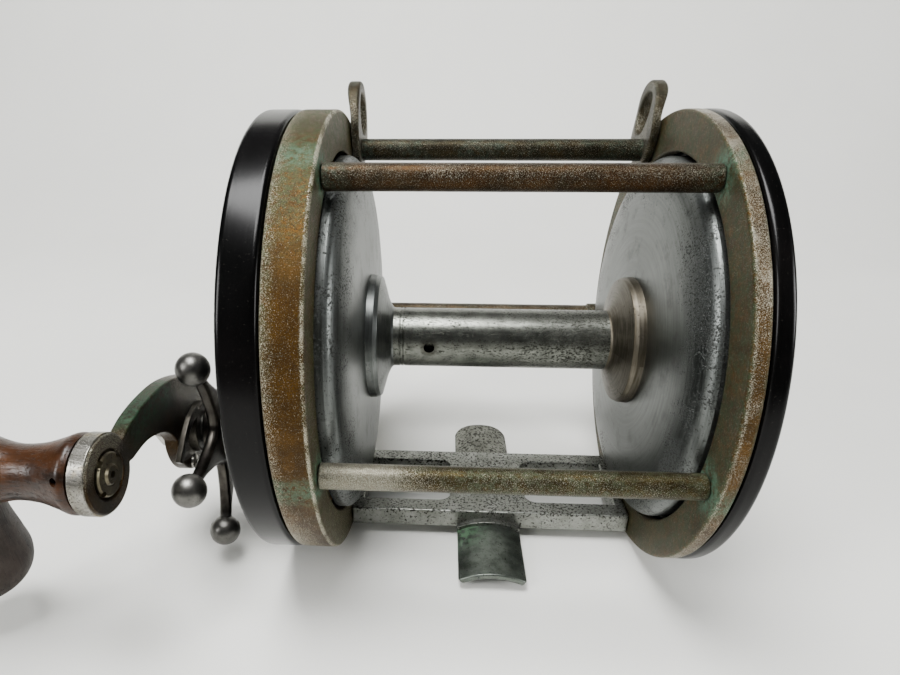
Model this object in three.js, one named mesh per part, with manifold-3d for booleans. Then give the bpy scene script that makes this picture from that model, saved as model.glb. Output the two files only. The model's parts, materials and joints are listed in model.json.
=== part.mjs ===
// Star-drag trolling reel, in millimetres.
// The part's frame: origin at the middle of the reel foot, on the flat underside of its web.
// +X runs along the spool towards the tail plate, +Y towards the angler, +Z from the foot to the spool.
// Inside, every piece is placed in the reel's own frame, whose origin is on the spool axis, midway
// between the rings, and the whole reel is then lifted by AXIS_HEIGHT.
import * as THREE from "three";
import { mergeVertices } from "three/addons/utils/BufferGeometryUtils.js";
import Module from "manifold-3d";

const wasm = await Module();
wasm.setup();

// Driving dimensions
const ROUND = 32; // sides of the largest round pieces
const FIT = 0.3; // gap left between two pieces that touch
const AXIS_HEIGHT = 55.9; // spool axis above the underside of the foot's web
const RING_RADIUS = 63.5;
const RING_BORE = 53;
const HALF_GAP = 44.9; // reel's middle to the inner face of either ring
const HEAD_RING = 9.6; // widths along X
const HEAD_PLATE = 9.5;
const TAIL_RING = 4.0;
const TAIL_PLATE = 4.7;
const POCKET_RADIUS = 51.5; // the recess in each side plate
const WALL = 2.4; // side plate left outside its recess
const PILLAR_RADIUS = 3.1;
const PILLAR_PITCH = 57.8;
const PILLAR_ANGLES = { front_top: 118.4, rear_top: 61.6, front_low: 192.3, rear_low: 347.7 };
const TAIL_LUG_LEAN = 1.4; // the tail lug's eye stands this much further out than the head's
const FLANGE_RADIUS = 52;
const ARBOR_RADIUS = 8.9;
const ARBOR_HALF = 32.5;
const COLLAR_RADIUS = 18.5;
const SPOOL_SHIFT = 0.7; // the spool's end play, taken up towards the tail
const SPINDLE_RADIUS = 4;
const JOURNAL_RADIUS = 3;
const MODULE = 1; // gear tooth size
const GEAR_TEETH = 40;
const PINION_TEETH = 18;
const BACKLASH = 0.12; // taken off each tooth flank
const DRIVE_ANGLE = 237.4; // direction from the spool axis to the crank axis
const BRIDGE_POSTS = [60, 140, 330]; // directions of the bridge's posts
const RATCHET_TEETH = 10;
const RATCHET_PHASE = 29;
const DOG_PIVOT = [-33.4, -13.2]; // Y and Z
const LEVER_REACH = 24; // spool axis to the free-spool lever's pivot
const LEVER_REST = 95; // the lever's direction in gear
const YOKE_SPRING_ARM = 14; // spool axis to the middle of a yoke spring
const CLICK_TEETH = 12;
const CLICK_PHASE = 270; // a gap between two teeth faces the pawl
const CLICK_REST = -24; // Z of the click button, off
const CLICK_TRAVEL = 5; // towards the spool axis
const STAR_X = -82; // middle of the star's balls
const STAR_TIP = 32; // crank axis to the middle of a ball
const STAR_BALL = 4.55;
const STAR_PHASE = 120.8;
const ARM_OUTER = -96.4; // X of the crank arm's two faces
const ARM_INNER = -92.2;
const HUB_RADIUS = 13.3;
const BOSS = [-62.3, -9.3]; // Y and Z of the handle's axis
const BOSS_RADIUS = 9.7;
const GRIP_X = -137.4; // middle of the T bar
const GRIP_HALF = 43; // half its length
const GRIP_TILT = 98; // its direction in the YZ plane
const FOOT_TOP = -53.4; // Z of the foot plate's top
const FOOT_DEPTH = 6.5;
const FOOT_HALF_WIDTH = 17.4;

const HEAD_FACE = -HALF_GAP - HEAD_RING - HEAD_PLATE;
const TAIL_FACE = HALF_GAP + TAIL_RING + TAIL_PLATE;
const GEAR_DISTANCE = (MODULE * (GEAR_TEETH + PINION_TEETH)) / 2;
const DRIVE = polar(GEAR_DISTANCE, DRIVE_ANGLE);
const PINION_PHASE = DRIVE_ANGLE;
const GEAR_PHASE = DRIVE_ANGLE + 180 + 180 / GEAR_TEETH;
const YOKE_AXIS = DRIVE_ANGLE - 180; // the yoke's tail points away from the crank axis
const LEVER_PIVOT = polar(LEVER_REACH, YOKE_AXIS);
const LOCK_SCREW = polar(11, 232, DRIVE);

const finish = (color, roughness, metalness) =>
  new THREE.MeshStandardMaterial({ color, roughness, metalness });
const MATERIALS = {
  patina: finish(0x8a6a35, 0.55, 0.6),
  ebonite: finish(0x0b0b0c, 0.25, 0.0),
  nickel: finish(0xa8a7a2, 0.3, 0.9),
  aluminium: finish(0xb4b5b6, 0.35, 0.9),
  steel: finish(0x7c7b77, 0.45, 0.9),
  dark_steel: finish(0x4a4846, 0.4, 0.9),
  brass: finish(0xb08d3c, 0.35, 0.9),
  fibre: finish(0x3b2a1e, 0.9, 0.0),
  wood: finish(0x6a3a22, 0.35, 0.0),
};

const reel = new THREE.Group();
reel.position.z = AXIS_HEIGHT;

function add(name, solid, material) {
  const mesh = new THREE.Mesh(geometryOf(solid), MATERIALS[material]);
  mesh.name = name;
  reel.add(mesh);
}

// ---- shape helpers -------------------------------------------------------------------------

function radians(degrees) {
  return (degrees * Math.PI) / 180;
}

// A point in the YZ plane, from an axis given as [y, z].
function polar(radius, angle, centre = [0, 0]) {
  const a = radians(angle);
  return [centre[0] + radius * Math.cos(a), centre[1] + radius * Math.sin(a)];
}

// A closed three.js geometry as a manifold solid, turned face out and without needle faces.
function solidOf(geometry) {
  const bare = geometry.clone();
  for (const name of ["normal", "uv"]) bare.deleteAttribute(name);
  const merged = mergeVertices(bare, 1e-3);
  const position = merged.getAttribute("position");
  const index = merged.index.array;
  const faces = [];
  let volume = 0;
  const corner = [new THREE.Vector3(), new THREE.Vector3(), new THREE.Vector3()];
  for (let i = 0; i < index.length; i += 3) {
    const [a, b, c] = [index[i], index[i + 1], index[i + 2]];
    if (a === b || b === c || c === a) continue;
    faces.push([a, b, c]);
    [a, b, c].forEach((vertex, k) => corner[k].fromBufferAttribute(position, vertex));
    volume += corner[0].dot(corner[1].cross(corner[2]));
  }
  const triVerts = new Uint32Array(faces.flatMap(([a, b, c]) => (volume < 0 ? [a, c, b] : [a, b, c])));
  const vertProperties = new Float32Array(position.array);
  return new wasm.Manifold(new wasm.Mesh({ numProp: 3, vertProperties, triVerts }));
}

function geometryOf(solid) {
  const { numProp, vertProperties, triVerts } = solid.getMesh();
  const points = new Float32Array((vertProperties.length / numProp) * 3);
  for (let i = 0; i < points.length / 3; i++) {
    for (let k = 0; k < 3; k++) points[3 * i + k] = vertProperties[numProp * i + k];
  }
  const geometry = new THREE.BufferGeometry();
  geometry.setAttribute("position", new THREE.BufferAttribute(points, 3));
  geometry.setIndex(new THREE.BufferAttribute(new Uint32Array(triVerts), 1));
  geometry.computeVertexNormals();
  return geometry;
}

// A body turned about an axis along X. The profile is a list of [x, radius].
function turned(profile, centre = [0, 0], segments = 24) {
  const onAxis = profile[0][1] === 0 && profile.at(-1)[1] === 0;
  const outline = (onAxis ? profile : [...profile, profile[0]]).map(([x, r]) => new THREE.Vector2(r, x));
  const geometry = new THREE.LatheGeometry(outline, segments);
  geometry.rotateZ(-Math.PI / 2);
  geometry.translate(0, centre[0], centre[1]);
  return solidOf(geometry);
}

function rod(x0, x1, radius, centre, segments = 18) {
  return turned([[x0, 0], [x0, radius], [x1, radius], [x1, 0]], centre, segments);
}

function tube(x0, x1, outer, bore, centre, segments = 20) {
  return turned([[x0, bore], [x0, outer], [x1, outer], [x1, bore]], centre, segments);
}

// An outline in the YZ plane, given as a list of [y, z] or as a THREE.Shape, given thickness along X.
function plate(outline, x0, x1, curveSegments = 8) {
  const shape = outline instanceof THREE.Shape ? outline : shapeOf(outline);
  const geometry = new THREE.ExtrudeGeometry(shape, { depth: x1 - x0, bevelEnabled: false, curveSegments });
  geometry.translate(0, 0, x0);
  geometry.applyMatrix4(new THREE.Matrix4().set(0, 0, 1, 0, 1, 0, 0, 0, 0, 1, 0, 0, 0, 0, 0, 1));
  return solidOf(geometry);
}

function shapeOf(outline) {
  return new THREE.Shape(outline.map((p) => new THREE.Vector2(...p)));
}

function box(low, high) {
  const size = high.map((value, k) => value - low[k]);
  const geometry = new THREE.BoxGeometry(...size);
  geometry.translate(...low.map((value, k) => value + size[k] / 2));
  return solidOf(geometry);
}

// A round or flat bar swept along a smooth curve through the points [x, y, z].
function swept(points, section, steps) {
  const path = new THREE.CatmullRomCurve3(points.map((p) => new THREE.Vector3(...p)));
  const options = { steps, extrudePath: path, bevelEnabled: false };
  return solidOf(new THREE.ExtrudeGeometry(shapeOf(section), options));
}

function circle(radius, sides) {
  return Array.from({ length: sides }, (_, k) => polar(radius, (360 * k) / sides));
}

function sphere(radius, centre) {
  const geometry = new THREE.SphereGeometry(radius, 8, 6);
  geometry.translate(...centre);
  return solidOf(geometry);
}

// Evenly spaced angles for a flat ring of teeth; each tooth is a list of [radius, offset in degrees].
function toothedOutline(teeth, phase, tooth, centre) {
  const points = [];
  for (let k = 0; k < teeth; k++) {
    const middle = phase + (360 * k) / teeth;
    for (const [radius, offset] of tooth) points.push(polar(radius, middle + offset, centre));
  }
  return points;
}

// One involute tooth with a 20 degree pressure angle.
function involuteTooth(teeth) {
  const pitch = (MODULE * teeth) / 2;
  const base = pitch * Math.cos(radians(20));
  const tip = pitch + 0.95 * MODULE;
  const root = pitch - 1.2 * MODULE;
  const involute = (angle) => Math.tan(angle) - angle;
  const halfAtPitch = Math.PI / (2 * teeth) - BACKLASH / pitch;
  const halfAt = (r) => {
    const angle = halfAtPitch + involute(radians(20)) - involute(Math.acos(base / r));
    return (angle * 180) / Math.PI;
  };
  const flank = [0.1, 1].map((t) => {
    const r = base + t * (tip - base);
    return [r, halfAt(Math.max(r, base * 1.0001))];
  });
  flank.unshift([root, flank[0][1] + 0.4]);
  return [...flank.map(([r, a]) => [r, -a]), ...flank.reverse()];
}

// ---- frame: rings, plates, pillars, lugs and foot -------------------------------------------

function sidePlates() {
  const screwHoles = (x0, x1, radius) =>
    Object.values(PILLAR_ANGLES).map((angle) => rod(x0, x1, radius, polar(PILLAR_PITCH, angle), 8));
  const drill = (solid, holes) => holes.reduce((left, hole) => left.subtract(hole), solid);
  const side = { head: -1, tail: 1 };
  const widths = { head: [HEAD_RING, HEAD_PLATE], tail: [TAIL_RING, TAIL_PLATE] };
  for (const [name, s] of Object.entries(side)) {
    const [ringWidth, plateWidth] = widths[name];
    const inner = HALF_GAP;
    const joint = inner + ringWidth;
    const face = joint + plateWidth;
    const round = 1.2;
    const ringProfile = [
      [inner, RING_BORE + round],
      [inner, RING_RADIUS - round],
      [inner + round, RING_RADIUS],
      [joint - FIT / 2, RING_RADIUS],
      [joint - FIT / 2, RING_BORE],
      [inner + round, RING_BORE],
    ];
    const plateProfile = [
      [joint + FIT / 2, POCKET_RADIUS],
      [joint + FIT / 2, RING_RADIUS],
      [face - 2 * round, RING_RADIUS],
      [face - 0.5, RING_RADIUS - 0.9],
      [face, RING_RADIUS - 2 * round],
      [face, 6.3],
      [face - WALL, 6.3],
      [face - WALL, POCKET_RADIUS],
    ];
    const across = (profile) => profile.map(([x, r]) => [s * x, r]);
    const through = s < 0 ? [-face - 1, -inner + 1] : [inner - 1, face + 1];
    const countersink = s < 0 ? [-face - 1, -face + 2.2] : [face - 2.2, face + 1];
    const ring = turned(across(ringProfile), [0, 0], ROUND);
    add(`${name}_ring`, drill(ring, screwHoles(...through, 1.8)), "patina");
    let disc = drill(turned(across(plateProfile), [0, 0], ROUND), screwHoles(...through, 1.8));
    disc = drill(disc, screwHoles(...countersink, 3.5));
    if (name === "head") {
      disc = disc.subtract(rod(-face - 1, -face + WALL + 1, 8.3, DRIVE, 32));
      disc = disc.subtract(rod(-face - 1, -face + WALL + 1, 2.8, LEVER_PIVOT, 20));
    } else {
      const slot = 2.3; // half the width of the click button's slot
      const top = CLICK_REST + CLICK_TRAVEL + slot;
      disc = disc.subtract(box([face - WALL - 1, -slot, CLICK_REST - slot], [face + 1, slot, top]));
    }
    add(`${name}_plate`, disc, "ebonite");
    let index = 0;
    for (const angle of Object.values(PILLAR_ANGLES)) {
      const screw = [
        [inner + 0.2, 0],
        [inner + 0.2, 1.5],
        [face - 1.9, 1.5],
        [face - 1.9, 3.2],
        [face - 0.4, 3.2],
        [face + 0.1, 2.4],
        [face + 0.1, 0],
      ];
      index += 1;
      add(`${name}_screw_${index}`, turned(across(screw), polar(PILLAR_PITCH, angle), 8), "nickel");
    }
  }
}

function pillars() {
  const end = HALF_GAP - FIT;
  for (const [name, angle] of Object.entries(PILLAR_ANGLES)) {
    const flare = PILLAR_RADIUS + (name === "rear_low" ? 0.7 : 0.2);
    const profile = [
      [-end, 0],
      [-end, flare],
      [-end + 2.4, flare],
      [-end + 3.6, PILLAR_RADIUS],
      [end - 3.6, PILLAR_RADIUS],
      [end - 2.4, flare],
      [end, flare],
      [end, 0],
    ];
    add(`pillar_${name}`, turned(profile, polar(PILLAR_PITCH, angle), 14), "patina");
  }
}

// A harness lug at each end of the rear top pillar: a thick oval eye that stands over the ring,
// with a thin root between the ring and the pillar's shoulder.
function harnessLugs() {
  const angle = PILLAR_ANGLES.rear_top;
  const pillar = polar(PILLAR_PITCH, angle);
  const outlineHalf = [
    [53.4, 2.4], [56, 6.6], [59.5, 10.2], [63, 11.4], [67, 11.2],
    [71, 9.9], [74.5, 7.4], [76.8, 4.4], [77.8, 0],
  ];
  const place = ([radius, side]) => {
    const [y, z] = polar(radius, angle);
    const [dy, dz] = polar(side, angle + 90);
    return new THREE.Vector2(y + dy, z + dz);
  };
  const symmetric = (half) => {
    const other = half.slice(0, -1).reverse();
    return new THREE.Shape([...half, ...other.map(([radius, side]) => [radius, -side])].map(place));
  };
  const above = RING_RADIUS + 2 * FIT;
  const root = symmetric(outlineHalf);
  const eye = symmetric([[above, 11.4], ...outlineHalf.filter(([radius]) => radius > above)]);
  const opening = new THREE.Shape();
  opening.absellipse(...polar(68.6, angle), 5.9, 7, 0, 2 * Math.PI, false, radians(angle));
  const inner = HALF_GAP - FIT - 2.4;
  const outer = HALF_GAP + 1.2;
  for (const [name, s, lean] of [["head", -1, 0], ["tail", 1, TAIL_LUG_LEAN]]) {
    const layer = (shape, from, to) => (s < 0 ? plate(shape, -to, -from, 6) : plate(shape, from, to, 6));
    let lug = layer(root, inner, HALF_GAP - FIT).add(layer(eye, inner + lean, outer + lean));
    lug = lug.subtract(layer(opening, inner - 1, outer + lean + 1));
    lug = lug.subtract(layer(circleShape(PILLAR_RADIUS + 1.2, pillar), inner - 1, outer + lean));
    add(`harness_lug_${name}`, lug, "patina");
  }
}

function circleShape(radius, centre) {
  return new THREE.Shape().absellipse(...centre, radius, radius, 0, 2 * Math.PI);
}

function reelFoot() {
  const end = HALF_GAP - FIT;
  const bottom = FOOT_TOP - FOOT_DEPTH;
  const webHalf = 12.6;
  const barInside = 11.4;
  const window = (sign) => {
    const shape = new THREE.Shape();
    const [near, far, radius] = [webHalf, end - 3.5, 3.5];
    shape.moveTo(near + radius, -barInside);
    shape.lineTo(far, -barInside);
    shape.lineTo(far, barInside);
    shape.lineTo(near + radius, barInside);
    shape.quadraticCurveTo(near, barInside, near, barInside - radius);
    shape.lineTo(near, -barInside + radius);
    shape.quadraticCurveTo(near, -barInside, near + radius, -barInside);
    const geometry = new THREE.ExtrudeGeometry(shape, { depth: 20, bevelEnabled: false, curveSegments: 6 });
    geometry.translate(0, 0, bottom - 5);
    if (sign < 0) geometry.rotateZ(Math.PI);
    return solidOf(geometry);
  };
  let foot = box([-end, -FOOT_HALF_WIDTH, bottom], [end, FOOT_HALF_WIDTH, FOOT_TOP]);
  foot = foot.subtract(window(1)).subtract(window(-1));
  foot = foot.subtract(box([-webHalf - 1, -barInside, bottom - 1], [webHalf + 1, barInside, FOOT_TOP - 2.5]));
  for (const [from, to] of [[-41, -15], [15, 43.5]]) foot = foot.add(saddle(from, to));
  add("reel_foot", foot, "steel");
}

// One tongue of the foot, hollow underneath to sit on a round rod butt.
function saddle(from, to) {
  const crown = -57.2;
  const outer = 20;
  const thickness = 1.8;
  const half = 10.2;
  const spread = Math.asin(half / outer);
  const arc = (radius, sign) =>
    Array.from({ length: 9 }, (_, k) => {
      const a = sign * spread * (k / 4 - 1);
      return new THREE.Vector2(radius * Math.sin(a), crown - outer + radius * Math.cos(a));
    });
  const shape = new THREE.Shape([...arc(outer, 1), ...arc(outer - thickness, -1)]);
  const geometry = new THREE.ExtrudeGeometry(shape, { depth: to - from, bevelEnabled: false });
  geometry.rotateX(Math.PI / 2);
  geometry.translate(0, to, 0);
  return solidOf(geometry);
}

// ---- spool ----------------------------------------------------------------------------------

function spool() {
  const bore = SPINDLE_RADIUS + FIT;
  let arbor = tube(SPOOL_SHIFT - ARBOR_HALF, SPOOL_SHIFT + ARBOR_HALF, ARBOR_RADIUS, bore, [0, 0], 24);
  const lineHole = new THREE.CylinderGeometry(1.1, 1.1, 6, 10);
  lineHole.translate(-20.2, -ARBOR_RADIUS, 0);
  arbor = arbor.subtract(solidOf(lineHole));
  add("spool_arbor", arbor, "steel");
  const inner = [[38.4, 9.4], [38.4, 18.5], [39, 41], [39.6, 46.5], [40.8, 50], [42.4, 51.8]];
  const rim = [[43.4, FLANGE_RADIUS], [46.2, FLANGE_RADIUS]];
  const back = [[46.2, 50.6], [44.6, 49.6], [42.6, 47.2], [41.2, 41], [40.4, 18.5], [40.4, 9.4]];
  const collar = [[38.1, 9.4], [38.1, COLLAR_RADIUS], [35.5, COLLAR_RADIUS], [33.6, 12.8], [32.8, 9.4]];
  for (const [name, s] of [["head", -1], ["tail", 1]]) {
    const across = (profile) => profile.map(([x, r]) => [s * x + SPOOL_SHIFT, r]);
    add(`spool_flange_${name}`, turned(across([...inner, ...rim, ...back]), [0, 0], ROUND), "aluminium");
    add(`hub_collar_${name}`, turned(across(collar), [0, 0], 28), "steel");
  }
  const spindle = [
    [-62.8, 0], [-62.8, JOURNAL_RADIUS], [-49.6, JOURNAL_RADIUS], [-49.6, 3.6], [-46.5, 3.6],
    [-46.5, SPINDLE_RADIUS], [46.5, SPINDLE_RADIUS], [46.5, JOURNAL_RADIUS], [52.6, JOURNAL_RADIUS], [52.6, 0],
  ];
  add("spool_spindle", turned(spindle, [0, 0], 20), "steel");
  const tooth = [[8.6, 1], [11, 11.5], [11, 18.5], [8.6, 29]];
  const outline = toothedOutline(CLICK_TEETH, CLICK_PHASE, tooth, [0, 0]);
  const gear = plate(outline, 47, 48.8).subtract(rod(46, 50, JOURNAL_RADIUS + 0.2, [0, 0], 24));
  add("click_gear", gear, "brass");
}

// ---- gear train and drag ---------------------------------------------------------------------

function gears() {
  const pinionTeeth = toothedOutline(PINION_TEETH, PINION_PHASE, involuteTooth(PINION_TEETH), [0, 0]);
  let pinion = plate(pinionTeeth, -59.4, -52.8);
  pinion = pinion.add(rod(-52.9, -50.4, 5, [0, 0], 24)).add(rod(-51.2, -50.4, 7, [0, 0], 24));
  pinion = pinion.subtract(rod(-60, -50, JOURNAL_RADIUS + 0.3, [0, 0], 20));
  add("pinion_gear", pinion, "brass");

  const gearTeeth = toothedOutline(GEAR_TEETH, GEAR_PHASE, involuteTooth(GEAR_TEETH), DRIVE);
  add("main_gear", plate(gearTeeth, -58.4, -55).subtract(rod(-60, -54, 6.3, DRIVE, 24)), "brass");
  add("drag_washer_inner", tube(-54.7, -53.4, 15, 6.3, DRIVE), "fibre");
  add("drag_washer_outer", tube(-60, -58.7, 15, 6.3, DRIVE), "fibre");

  const tooth = [[9.2, 0], [11.4, 2], [11.4, 5], [9.2, 14]];
  const ratchet = plate(toothedOutline(RATCHET_TEETH, RATCHET_PHASE, tooth, DRIVE), -53.1, -51.5);
  add("ratchet_wheel", ratchet.subtract(rod(-54, -50, 6.3, DRIVE, 24)), "steel");
  const sleeve = [
    [-102, 0], [-102, 3.6], [-91.7, 3.6], [-91.7, 4.8], [-78.5, 4.8], [-78.5, 6], [-51.3, 6],
    [-51.3, 8.4], [-50.3, 8.4], [-50.3, 0],
  ];
  add("drive_sleeve", turned(sleeve, DRIVE, 24), "steel");
}

// The plate that closes the gear recess and carries its studs.
function bridge() {
  const inner = -48.2;
  const outer = -49.8;
  let disc = rod(outer, inner, 50.5, [0, 0], 36).subtract(rod(-51, -47, 5.2, [0, 0], 24));
  for (const angle of BRIDGE_POSTS) disc = disc.add(rod(-61.4, outer + 0.1, 2.6, polar(45.5, angle), 12));
  disc = disc.add(rod(-53.4, outer + 0.1, 1.7, DOG_PIVOT, 14));
  add("bridge_plate", disc, "brass");
}

// The anti-reverse dog, drawn lifted clear of the ratchet, and the leaf spring behind it.
function antiReverse() {
  const shape = new THREE.Shape();
  const [py, pz] = DOG_PIVOT;
  shape.absarc(py, pz, 3.4, radians(-60), radians(205), false);
  shape.lineTo(py + 3.1, pz - 16.6);
  shape.lineTo(py + 5.6, pz - 15.4);
  shape.closePath();
  const bore = new THREE.Path();
  bore.absellipse(py, pz, 2, 2, 0, 2 * Math.PI);
  shape.holes.push(bore);
  add("antireverse_dog", plate(shape, -53.1, -51.5), "steel");
  const bow = [[-7.2, 4], [-8.4, -3], [-7.6, -10], [-5.4, -15]];
  const points = bow.map(([y, z]) => [-52.3, py + y, pz + z]);
  add("dog_spring", swept(points, [[-0.6, -0.2], [0.6, -0.2], [0.6, 0.2], [-0.6, 0.2]], 8), "steel");
}

// ---- free-spool clutch ------------------------------------------------------------------------

function clutch() {
  const along = (radial, side) => {
    const [y, z] = polar(radial, YOKE_AXIS);
    const [dy, dz] = polar(side, YOKE_AXIS + 90);
    return [y + dy, z + dz];
  };
  const outline = [
    along(-4, 5.3), along(-4, 17), along(4, 17), along(9, 9), along(21, 4), along(21, -4),
    along(9, -9), along(4, -17), along(-4, -17), along(-4, -5.3), along(2, -5.3), along(5.6, -2),
    along(5.6, 2), along(2, 5.3),
  ];
  add("clutch_yoke", plate(outline, -52.5, -51.5), "steel");
  for (const [name, side] of [["front", 1], ["rear", -1]]) {
    const centre = along(0, side * YOKE_SPRING_ARM);
    const turns = 4;
    const points = [];
    for (let k = 0; k <= turns * 9; k++) {
      const [y, z] = polar(2.1, 40 * k, centre);
      points.push([-53.2 - (7.6 * k) / (turns * 9), y, z]);
    }
    add(`yoke_spring_${name}`, swept(points, circle(0.35, 4), turns * 8), "steel");
  }
  const lever = rod(-66.4, -50.3, 2.5, LEVER_PIVOT, 20).add(rod(-51.2, -50.3, 4.6, LEVER_PIVOT, 20));
  const arm = [
    [-2.6, 0], [-2.1, 14], [-2.9, 20], [-1.6, 23.4], [1.6, 23.4], [2.9, 20], [2.1, 14], [2.6, 0],
  ].map(([side, out]) => {
    const [y, z] = polar(out, LEVER_REST, LEVER_PIVOT);
    const [dy, dz] = polar(side, LEVER_REST + 90);
    return [y + dy, z + dz];
  });
  const blade = plate(arm, -66.6, -64.7).add(rod(-67.6, -64.7, 5.2, LEVER_PIVOT, 28));
  const knob = rod(-70.2, -64.7, 3.4, polar(20, LEVER_REST, LEVER_PIVOT), 20);
  add("free_spool_lever", lever.add(blade).add(knob), "nickel");
}

// ---- bearings and caps ------------------------------------------------------------------------

function bearings() {
  const bore = JOURNAL_RADIUS + 0.12;
  add("head_bushing", tube(HEAD_FACE + 0.1, HEAD_FACE + WALL - 0.1, 6, bore, [0, 0]), "brass");
  add("tail_bushing", tube(TAIL_FACE - WALL - 1.6, TAIL_FACE - 0.1, 6, bore, [0, 0]), "brass");
  add("head_bearing_cap", capOpen(HEAD_FACE, -1, 6, 9), "nickel");
  add("tail_bearing_cap", capOpen(TAIL_FACE, 1, 7, 9.5), "nickel");
  add("drive_tower", turned(
    [[-75.5, 6.3], [-75.5, 9.4], [-74.6, 10], [-67, 10], [-65.8, 11], [-65.8, 15.5], [-64.3, 15.5],
      [-64.3, 8], [-61.8, 8], [-61.8, 6.3]],
    DRIVE, 24), "nickel");
}

// A flanged cap over the end of the spindle, open towards the reel.
function capOpen(face, s, length, radius) {
  const profile = [
    [length, 0], [length, radius - 0.8], [length - 0.8, radius], [1.8, radius], [1.8, radius + 1.4],
    [FIT, radius + 1.4], [FIT, 3.8], [length - 2, 3.8], [length - 2, 0],
  ];
  return turned(profile.map(([x, r]) => [face + s * x, r]), [0, 0], 24);
}

// ---- star drag, crank and handle ---------------------------------------------------------------

function starDrag() {
  const waist = 13.6; // the hub's radius midway between two arms
  const neck = 1.9; // half the width of an arm where it meets its ball
  const points = [];
  for (let k = 0; k < 6; k++) {
    const arm = STAR_PHASE + 60 * k;
    const reach = STAR_TIP - 3;
    const spread = (Math.asin(neck / reach) * 180) / Math.PI;
    points.push(polar(reach, arm - spread, DRIVE), polar(reach, arm + spread, DRIVE));
    for (const [turn, radius] of [[10, 22], [19, 16], [30, waist], [41, 16], [50, 22]]) {
      points.push(polar(radius, arm + turn, DRIVE));
    }
  }
  let star = plate(points, STAR_X - 1.9, STAR_X + 1.9);
  star = star.add(rod(STAR_X - 4.4, STAR_X + 3.2, 10.5, DRIVE, 24));
  for (let k = 0; k < 6; k++) {
    star = star.add(sphere(STAR_BALL, [STAR_X, ...polar(STAR_TIP, STAR_PHASE + 60 * k, DRIVE)]));
  }
  add("star_drag", star.subtract(rod(STAR_X - 6, STAR_X + 6, 5.1, DRIVE, 18)), "dark_steel");
}

function crank() {
  const spline = (shape, points) => shape.splineThru(points.map((p) => new THREE.Vector2(...p)));
  const [dy, dz] = DRIVE;
  const [by, bz] = BOSS;
  const shape = new THREE.Shape();
  shape.absarc(dy, dz, HUB_RADIUS, radians(170), radians(380), false);
  spline(shape, [[-6, -12.5], [-15, -7.1], [-26.9, -3.3], [-37.3, -2.4], [-46.5, -3], [-53.6, -4.9]]);
  shape.absarc(by, bz, BOSS_RADIUS, radians(27), radians(343), false);
  spline(shape, [[-51.6, -12.3], [-43.8, -12.2], [-36.2, -14.4], [-31.4, -17.6], [-28.8, -21.6]]);
  const bore = new THREE.Path();
  bore.absellipse(dy, dz, 3.9, 3.9, 0, 2 * Math.PI);
  shape.holes.push(bore);
  let arm = plate(shape, ARM_OUTER, ARM_INNER, 6);
  arm = arm.subtract(rod(ARM_OUTER - 1, ARM_INNER + 1, 3.9, BOSS));
  arm = arm.subtract(rod(ARM_INNER - 1.6, ARM_INNER + 1, 6.8, BOSS));
  arm = arm.subtract(rod(ARM_INNER - 2, ARM_INNER + 1, 1.4, LOCK_SCREW, 10));
  add("crank_arm", arm, "patina");
  const nut = [[8, 0], [8, 3], [6.8, 6.2], [2.6, 7.6], [FIT, 7.6], [FIT, 4.5], [6, 4.5], [6, 0]];
  add("crank_nut", turned(nut.map(([x, r]) => [ARM_OUTER - x, r]), DRIVE, 6), "nickel");
}

// The leaf that holds the star where it is set: a ring on the sleeve with a curved finger.
function lockFinger() {
  const x0 = -90.4;
  const x1 = -88.8;
  const outline = [
    [-13, -16.4], [-20, -13.6], [-28.6, -17.7], [-36.4, -23.2],
    [-32.4, -27.2], [-27.4, -22.4], [-20, -19], [-14, -22],
  ];
  const leaf = plate(outline, x0, x1).add(rod(-91.8, x1, 8, DRIVE));
  add("crank_lock_finger", leaf.subtract(rod(-93, -88, 5.1, DRIVE)), "dark_steel");
  const screw = [[-1.8, 0], [-1.8, 1.2], [FIT, 1.2], [FIT, 2.2], [1.3, 1.8], [1.3, 0]];
  add("lock_screw", turned(screw.map(([x, r]) => [ARM_INNER + x, r]), LOCK_SCREW, 10), "nickel");
}

function handle() {
  const out = (profile) => profile.map(([x, r]) => [ARM_OUTER - x, r]);
  const spindle = [[26, 0], [26, 3.2], [0.4, 3.2], [0.4, 3.6], [-4, 3.6], [-4, 2.2], [-5.4, 2.2], [-5.4, 0]];
  add("handle_spindle", turned(out(spindle), BOSS, 16), "steel");
  const nut = [[-2.9, 3.9], [-2.9, 6.2], [-4.4, 6.2], [-5, 5.6], [-5, 3.9]];
  add("spanner_nut", turned(out(nut), BOSS, 20), "nickel");

  const stem = [
    [0.9, 3.5], [0.9, 9.3], [2.6, 9.7], [6, 8.4], [11, 6.8], [17, 6.6], [24, 8.6], [31, 11.5], [31, 3.5],
  ];
  const half = [
    [0, 12], [10, 11.4], [20, 11.2], [28, 11.6], [33.5, 11.8], [38, 10.4], [41.4, 6.6], [GRIP_HALF, 0],
  ];
  const bar = [...half.map(([x, r]) => [-x, r]).reverse(), ...half.slice(1)];
  const geometry = new THREE.LatheGeometry(bar.map(([x, r]) => new THREE.Vector2(r, x)), 12);
  geometry.rotateX(radians(GRIP_TILT));
  geometry.translate(GRIP_X, ...BOSS);
  let grip = turned(out(stem), BOSS, 12).add(solidOf(geometry));
  grip = grip.subtract(rod(ARM_OUTER - 26.4, ARM_OUTER, 3.5, BOSS));
  add("handle_grip", grip, "wood");
}

// ---- click ------------------------------------------------------------------------------------

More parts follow.
